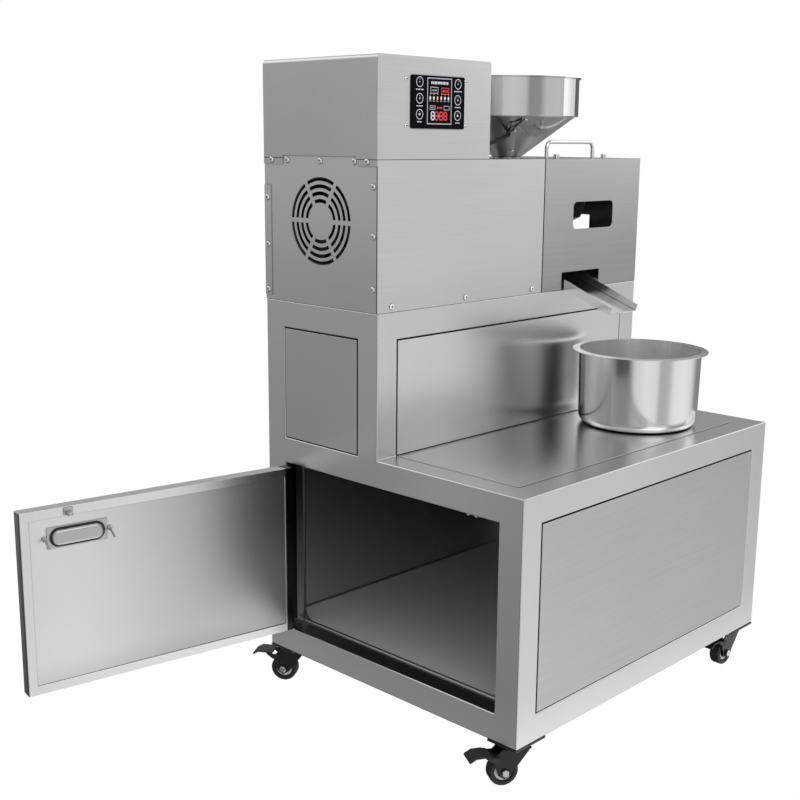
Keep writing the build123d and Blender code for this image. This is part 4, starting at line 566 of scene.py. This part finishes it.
# Screw heads. Each pan head has a cross recess; the ones round the touch panel are smaller, and those
# in the hinge's leaf are flat and painted black like the leaf, painted shade.
def turned_mesh(name, outline, steps, place, axis):
    """A lathe-turned mesh about an axis from (radius, height) points; radius 0 closes an end."""
    ring = bmesh.new()
    frame_of = Vector((0, 0, 1)).rotation_difference(Vector(axis)).to_matrix().to_4x4()
    where = Matrix.Translation(place) @ frame_of
    rows = []
    for radius, height in outline:
        angles = [tau * i / steps for i in range(1 if radius == 0 else steps)]
        points = [Vector((radius * cos(a), radius * sin(a), height)) for a in angles]
        rows.append([ring.verts.new(where @ point) for point in points])
    for low, high in zip(rows, rows[1:]):
        for i in range(steps):
            j = (i + 1) % steps
            loop = [low[i % len(low)], low[j % len(low)], high[j % len(high)], high[i % len(high)]]
            loop = [v for k, v in enumerate(loop) if v not in loop[:k]]
            if len(loop) > 2:
                ring.faces.new(loop)
    mesh = bpy.data.meshes.new(name)
    ring.to_mesh(mesh)
    ring.free()
    mesh.shade_smooth()
    mesh.set_sharp_from_angle(angle=radians(35))
    return mesh


def joined(name, meshes):
    """One mesh from several."""
    whole = bmesh.new()
    for mesh in meshes:
        whole.from_mesh(mesh)
    result = bpy.data.meshes.new(name)
    whole.to_mesh(result)
    whole.free()
    result.shade_smooth()
    result.set_sharp_from_angle(angle=radians(35))
    return result


CROSS_RISE, CROSS_THICK = 0.00006, 0.0001


def cross(place, normal, reach, line, twist):
    """The two bars of a cross recess, a hair above the head."""
    made = bmesh.new()
    out = Vector(normal)
    rise = Matrix.Translation(Vector(place) + out * CROSS_RISE)
    facing = rise @ out.to_track_quat("Z", "Y").to_matrix().to_4x4()
    for quarter in (0, 1):
        spin = Matrix.Rotation(twist + quarter * pi / 2, 4, "Z")
        shape = Matrix.Diagonal((reach, line, CROSS_THICK, 1))
        bmesh.ops.create_cube(made, size=1.0, matrix=facing @ spin @ shape)
    mesh = bpy.data.meshes.new("cross")
    made.to_mesh(mesh)
    made.free()
    return mesh


HEAD_HEIGHT, SMALL_HEAD_HEIGHT = 0.0022, 0.00125
LAP_X = left - 0.0012
SCREW_ROW = 0.7865
head_places = [((left, 0.0213, z), (-1, 0, 0)) for z in (0.622, 0.691, 0.755)]
head_places += [((left, y, SCREW_ROW), (-1, 0, 0)) for y in (0.0566, 0.1228, 0.1904)]
head_places += [((LAP_X, y, SCREW_ROW), (-1, 0, 0)) for y in (0.0318, 0.2219)]
head_places += [((LAP_X, 0.232, z), (-1, 0, 0)) for z in (0.605, 0.669, 0.7345)]
head_places += [((x, FACE, 0.5985), (0, -1, 0)) for x in (-0.274, -0.1255, 0.025)]
crosses = [cross(Vector(place) + Vector(normal) * HEAD_HEIGHT, normal, 0.0040, 0.0009, 0.7 * index)
           for index, (place, normal) in enumerate(head_places)]
recess_finish = plain("recess_shadow", (0.012, 0.012, 0.012), 0.6, grain=0.2)
add_piece("housing_screw_recesses", "cabinet", joined("recesses", crosses), recess_finish, "screw_steel")

small_heads = []
small_crosses = []
dome = [(0.0026, -0.0001), (0.0026, 0.0005), (0.0019, 0.0011), (0, 0.0013)]
for index, (x, z) in enumerate(((-0.2496, 0.833), (-0.2496, 0.892), (-0.134, 0.833), (-0.134, 0.892))):
    small_heads.append(turned_mesh("head", dome, 24, (x, FACE, z), (0, -1, 0)))
    top = (x, FACE - SMALL_HEAD_HEIGHT, z)
    small_crosses.append(cross(top, (0, -1, 0), 0.0026, 0.0006, 0.4 + index))
add_piece("panel_screws", "cabinet", joined("panel_screws", small_heads), polished, "screw_steel")
small_crosses = joined("panel_recesses", small_crosses)
add_piece("panel_screw_recesses", "cabinet", small_crosses, recess_finish, "screw_steel")

LEAF_FOOT, LEAF_HEIGHT = 0.109, 0.236
flat_head = [(0.0034, 0.0), (0.0034, 0.0001), (0.0030, 0.0002), (0.0012, 0.0002), (0, 0.0001)]
leaf_heads = []
for step in range(3):
    z = LEAF_FOOT + LEAF_HEIGHT * (step + 0.5) / 3
    leaf_heads.append(turned_mesh("leaf_head", flat_head, 24, (-0.2906, 0.1998, z), (0, -1, 0)))
# painted shade: the hinge screws take the black paint, as dark as the leaf
add_piece("hinge_screws", "cabinet", joined("hinge_screws", leaf_heads), black_paint, "hinge_steel")


# Touch panel picture. Under the black glass lie six keys with rings, a framed window with a title, two
# fields, a row of seed icons, a row of small fields and a four-digit counter in red segments.
PANEL_X, PANEL_Z = -0.2405, 0.8975
PANEL_FRONT = 0.01095
WIDE, TALL = 103.0, 68.0
FILM = 0.00005


class Picture:
    """Flat marks on the glass, in millimetres from the panel's upper left corner."""

    def __init__(self):
        self.points = []
        self.faces = []

    def patch(self, corners):
        first = len(self.points)
        self.points += [(PANEL_X + x / 1000, PANEL_FRONT, PANEL_Z - z / 1000) for x, z in corners]
        self.faces.append(list(range(first, first + len(corners))))

    def bar(self, x, z, width, height):
        w, h = width / 2, height / 2
        self.patch([(x - w, z - h), (x + w, z - h), (x + w, z + h), (x - w, z + h)])

    def ring(self, x, z, radius, line, steps=40):
        inner, outer = radius - line / 2, radius + line / 2
        for i in range(steps):
            a, b = tau * i / steps, tau * (i + 1) / steps
            corners = ((outer, a), (outer, b), (inner, b), (inner, a))
            self.patch([(x + reach * cos(angle), z + reach * sin(angle)) for reach, angle in corners])

    def disc(self, x, z, wide, tall, steps=20):
        angles = [tau * i / steps for i in range(steps)]
        self.patch([(x + wide * cos(angle), z + tall * sin(angle)) for angle in angles])

    def outline(self, x0, x1, z0, z1, line):
        for z in (z0, z1):
            self.bar((x0 + x1) / 2, z, x1 - x0 + line, line)
        for x in (x0, x1):
            self.bar(x, (z0 + z1) / 2, line, z1 - z0 - line)

    def label(self, x, z, width, height, letters):
        """A row of blocks in place of a word, no two quite the same width."""
        pitch = width / letters
        for i in range(letters):
            share = 0.62 + 0.16 * sin(2.3 * i + x)
            self.bar(x - width / 2 + pitch * (i + 0.5), z, pitch * share, height)

    def eight(self, x, z, wide, tall, line):
        """A digit with all its seven segments lit."""
        w, h = wide / 2 - line / 2, tall / 2 - line / 2
        gap = line * 0.6
        for dz in (-h, 0, h):
            self.bar(x, z + dz, 2 * w - gap, line)
        for dz in (-h / 2, h / 2):
            for dx in (-w, w):
                self.bar(x + dx, z + dz, line, h - gap)

    def put(self, name, finish):
        mesh = bpy.data.meshes.new(name)
        mesh.from_pydata(self.points, [], self.faces)
        piece = add_piece(name, "cabinet", mesh, finish, "touch_glass")
        film = piece.modifiers.new("film", "SOLIDIFY")
        film.thickness = FILM


def lit(name, colour):
    """A printed or lit mark under the glass, its light a little uneven."""
    material, tree = new_finish(name)
    uneven = noise(tree, spot(tree), 700.0, 2.0) * 0.5 + 0.75
    glow = combined(tree, [uneven * part for part in colour])
    dark = (0.02, 0.02, 0.02, 1)
    principled(tree, base_color=dark, roughness=0.4, emission_color=glow, emission_strength=1.0)
    return material


white_marks, grey_marks, red_marks, amber_marks = Picture(), Picture(), Picture(), Picture()
KEY_RADIUS, KEY_LINE = 6.2, 0.75
KEYS = ((0.141, (0.126, 0.435, 0.732)), (0.868, (0.134, 0.440, 0.740)))
for u, rows in KEYS:
    for row, v in enumerate(rows):
        x, z = u * WIDE, v * TALL
        white_marks.ring(x, z, KEY_RADIUS, KEY_LINE)
        white_marks.disc(x, z, 0.8 + 0.35 * row, 0.8 + 0.35 * row)
        white_marks.label(x, z + 9.6, 15.0 - 3.0 * row, 1.4, 7 - row)
        grey_marks.bar(x, z - 3.2, 0.8, 1.4)

WINDOW_LINE, FIELD_LINE, SMALL_FIELD_LINE = 1.3, 0.9, 0.8
for marks, u0, u1, v0, v1, line in (
    (grey_marks, 0.286, 0.740, 0.046, 0.906, WINDOW_LINE),
    (grey_marks, 0.346, 0.481, 0.214, 0.328, FIELD_LINE),
    (red_marks, 0.551, 0.686, 0.222, 0.336, FIELD_LINE),
    (grey_marks, 0.335, 0.430, 0.565, 0.635, SMALL_FIELD_LINE),
    (grey_marks, 0.600, 0.700, 0.565, 0.635, SMALL_FIELD_LINE),
):
    marks.outline(u0 * WIDE, u1 * WIDE, v0 * TALL, v1 * TALL, line)
for marks, u, v, width, height, letters in (
    (white_marks, 0.5150, 0.130, 34.0, 3.4, 11),
    (grey_marks, 0.4135, 0.271, 9.5, 2.0, 5),
    (red_marks, 0.6185, 0.279, 10.5, 3.0, 4),
    (grey_marks, 0.3825, 0.600, 6.0, 1.6, 3),
    (red_marks, 0.5150, 0.600, 11.0, 2.6, 4),
):
    marks.label(u * WIDE, v * TALL, width, height, letters)

AMBER_ICON = 2
for index, u in enumerate((0.337, 0.404, 0.474, 0.545, 0.615, 0.683)):
    marks = amber_marks if index == AMBER_ICON else white_marks
    marks.disc(u * WIDE, 0.417 * TALL, 1.5, 2.6)
    marks.bar(u * WIDE + 0.4, 0.345 * TALL, 0.7, 1.5)
    grey_marks.bar(u * WIDE, 0.475 * TALL, 4.2, 0.8)

COUNTER_V = 0.755
for index, u in enumerate((0.388, 0.463, 0.548, 0.628)):
    marks = red_marks if index else white_marks
    marks.eight(u * WIDE, COUNTER_V * TALL, 7.4, 11.6, 1.7)
white_marks.bar(0.505 * WIDE, COUNTER_V * TALL, 1.2, 1.2)

white_marks.put("panel_white_marks", lit("lit_white", (0.74, 0.74, 0.80)))
grey_marks.put("panel_grey_marks", lit("lit_grey", (0.42, 0.41, 0.48)))
red_marks.put("panel_red_marks", lit("lit_red", (0.75, 0.02, 0.03)))
amber_marks.put("panel_amber_mark", lit("lit_amber", (0.95, 0.45, 0.08)))


# Caster trim. A white ring is let into each wheel's web, and the axle nuts are bright zinc.
zinc = steel("bright_zinc", 0.70, ALONG_Z, 0.25, 0.10)
ring_white = plain("ring_white", (0.75, 0.75, 0.74), 0.45, grain=0.1)
STEM_X, STEM_Y = 0.270, 0.215
TRAIL, AXLE_UP = 0.019, 0.020
RING_OUT, NUT_OUT = 0.0055, 0.0115
band = [(0.0085, -0.0001), (0.0085, 0.0006), (0.0125, 0.0006), (0.0125, -0.0001)]
cap = [(0.0052, 0.0), (0.0052, 0.0032), (0.0044, 0.0040), (0, 0.0040)]
for corner_name, (side_x, side_y, heading) in CORNERS.items():
    turned = radians(heading)
    trail = Vector((cos(turned), sin(turned), 0)) * TRAIL
    axle = Vector((side_x * STEM_X, side_y * STEM_Y, AXLE_UP)) + trail
    outward = Vector((-sin(turned), cos(turned), 0))
    sides = (-outward, outward)
    rings = [turned_mesh("ring", band, 48, axle + side * RING_OUT, side) for side in sides]
    nuts = [turned_mesh("nut", cap, 6, axle + side * NUT_OUT, side) for side in sides]
    roller, swivel = f"caster_{corner_name}_roller", f"caster_{corner_name}_swivel"
    add_piece(f"{corner_name}_white_rings", roller, joined("rings", rings), ring_white, "caster_rubber")
    add_piece(f"{corner_name}_axle_nuts", swivel, joined("nuts", nuts), zinc, "caster_steel")
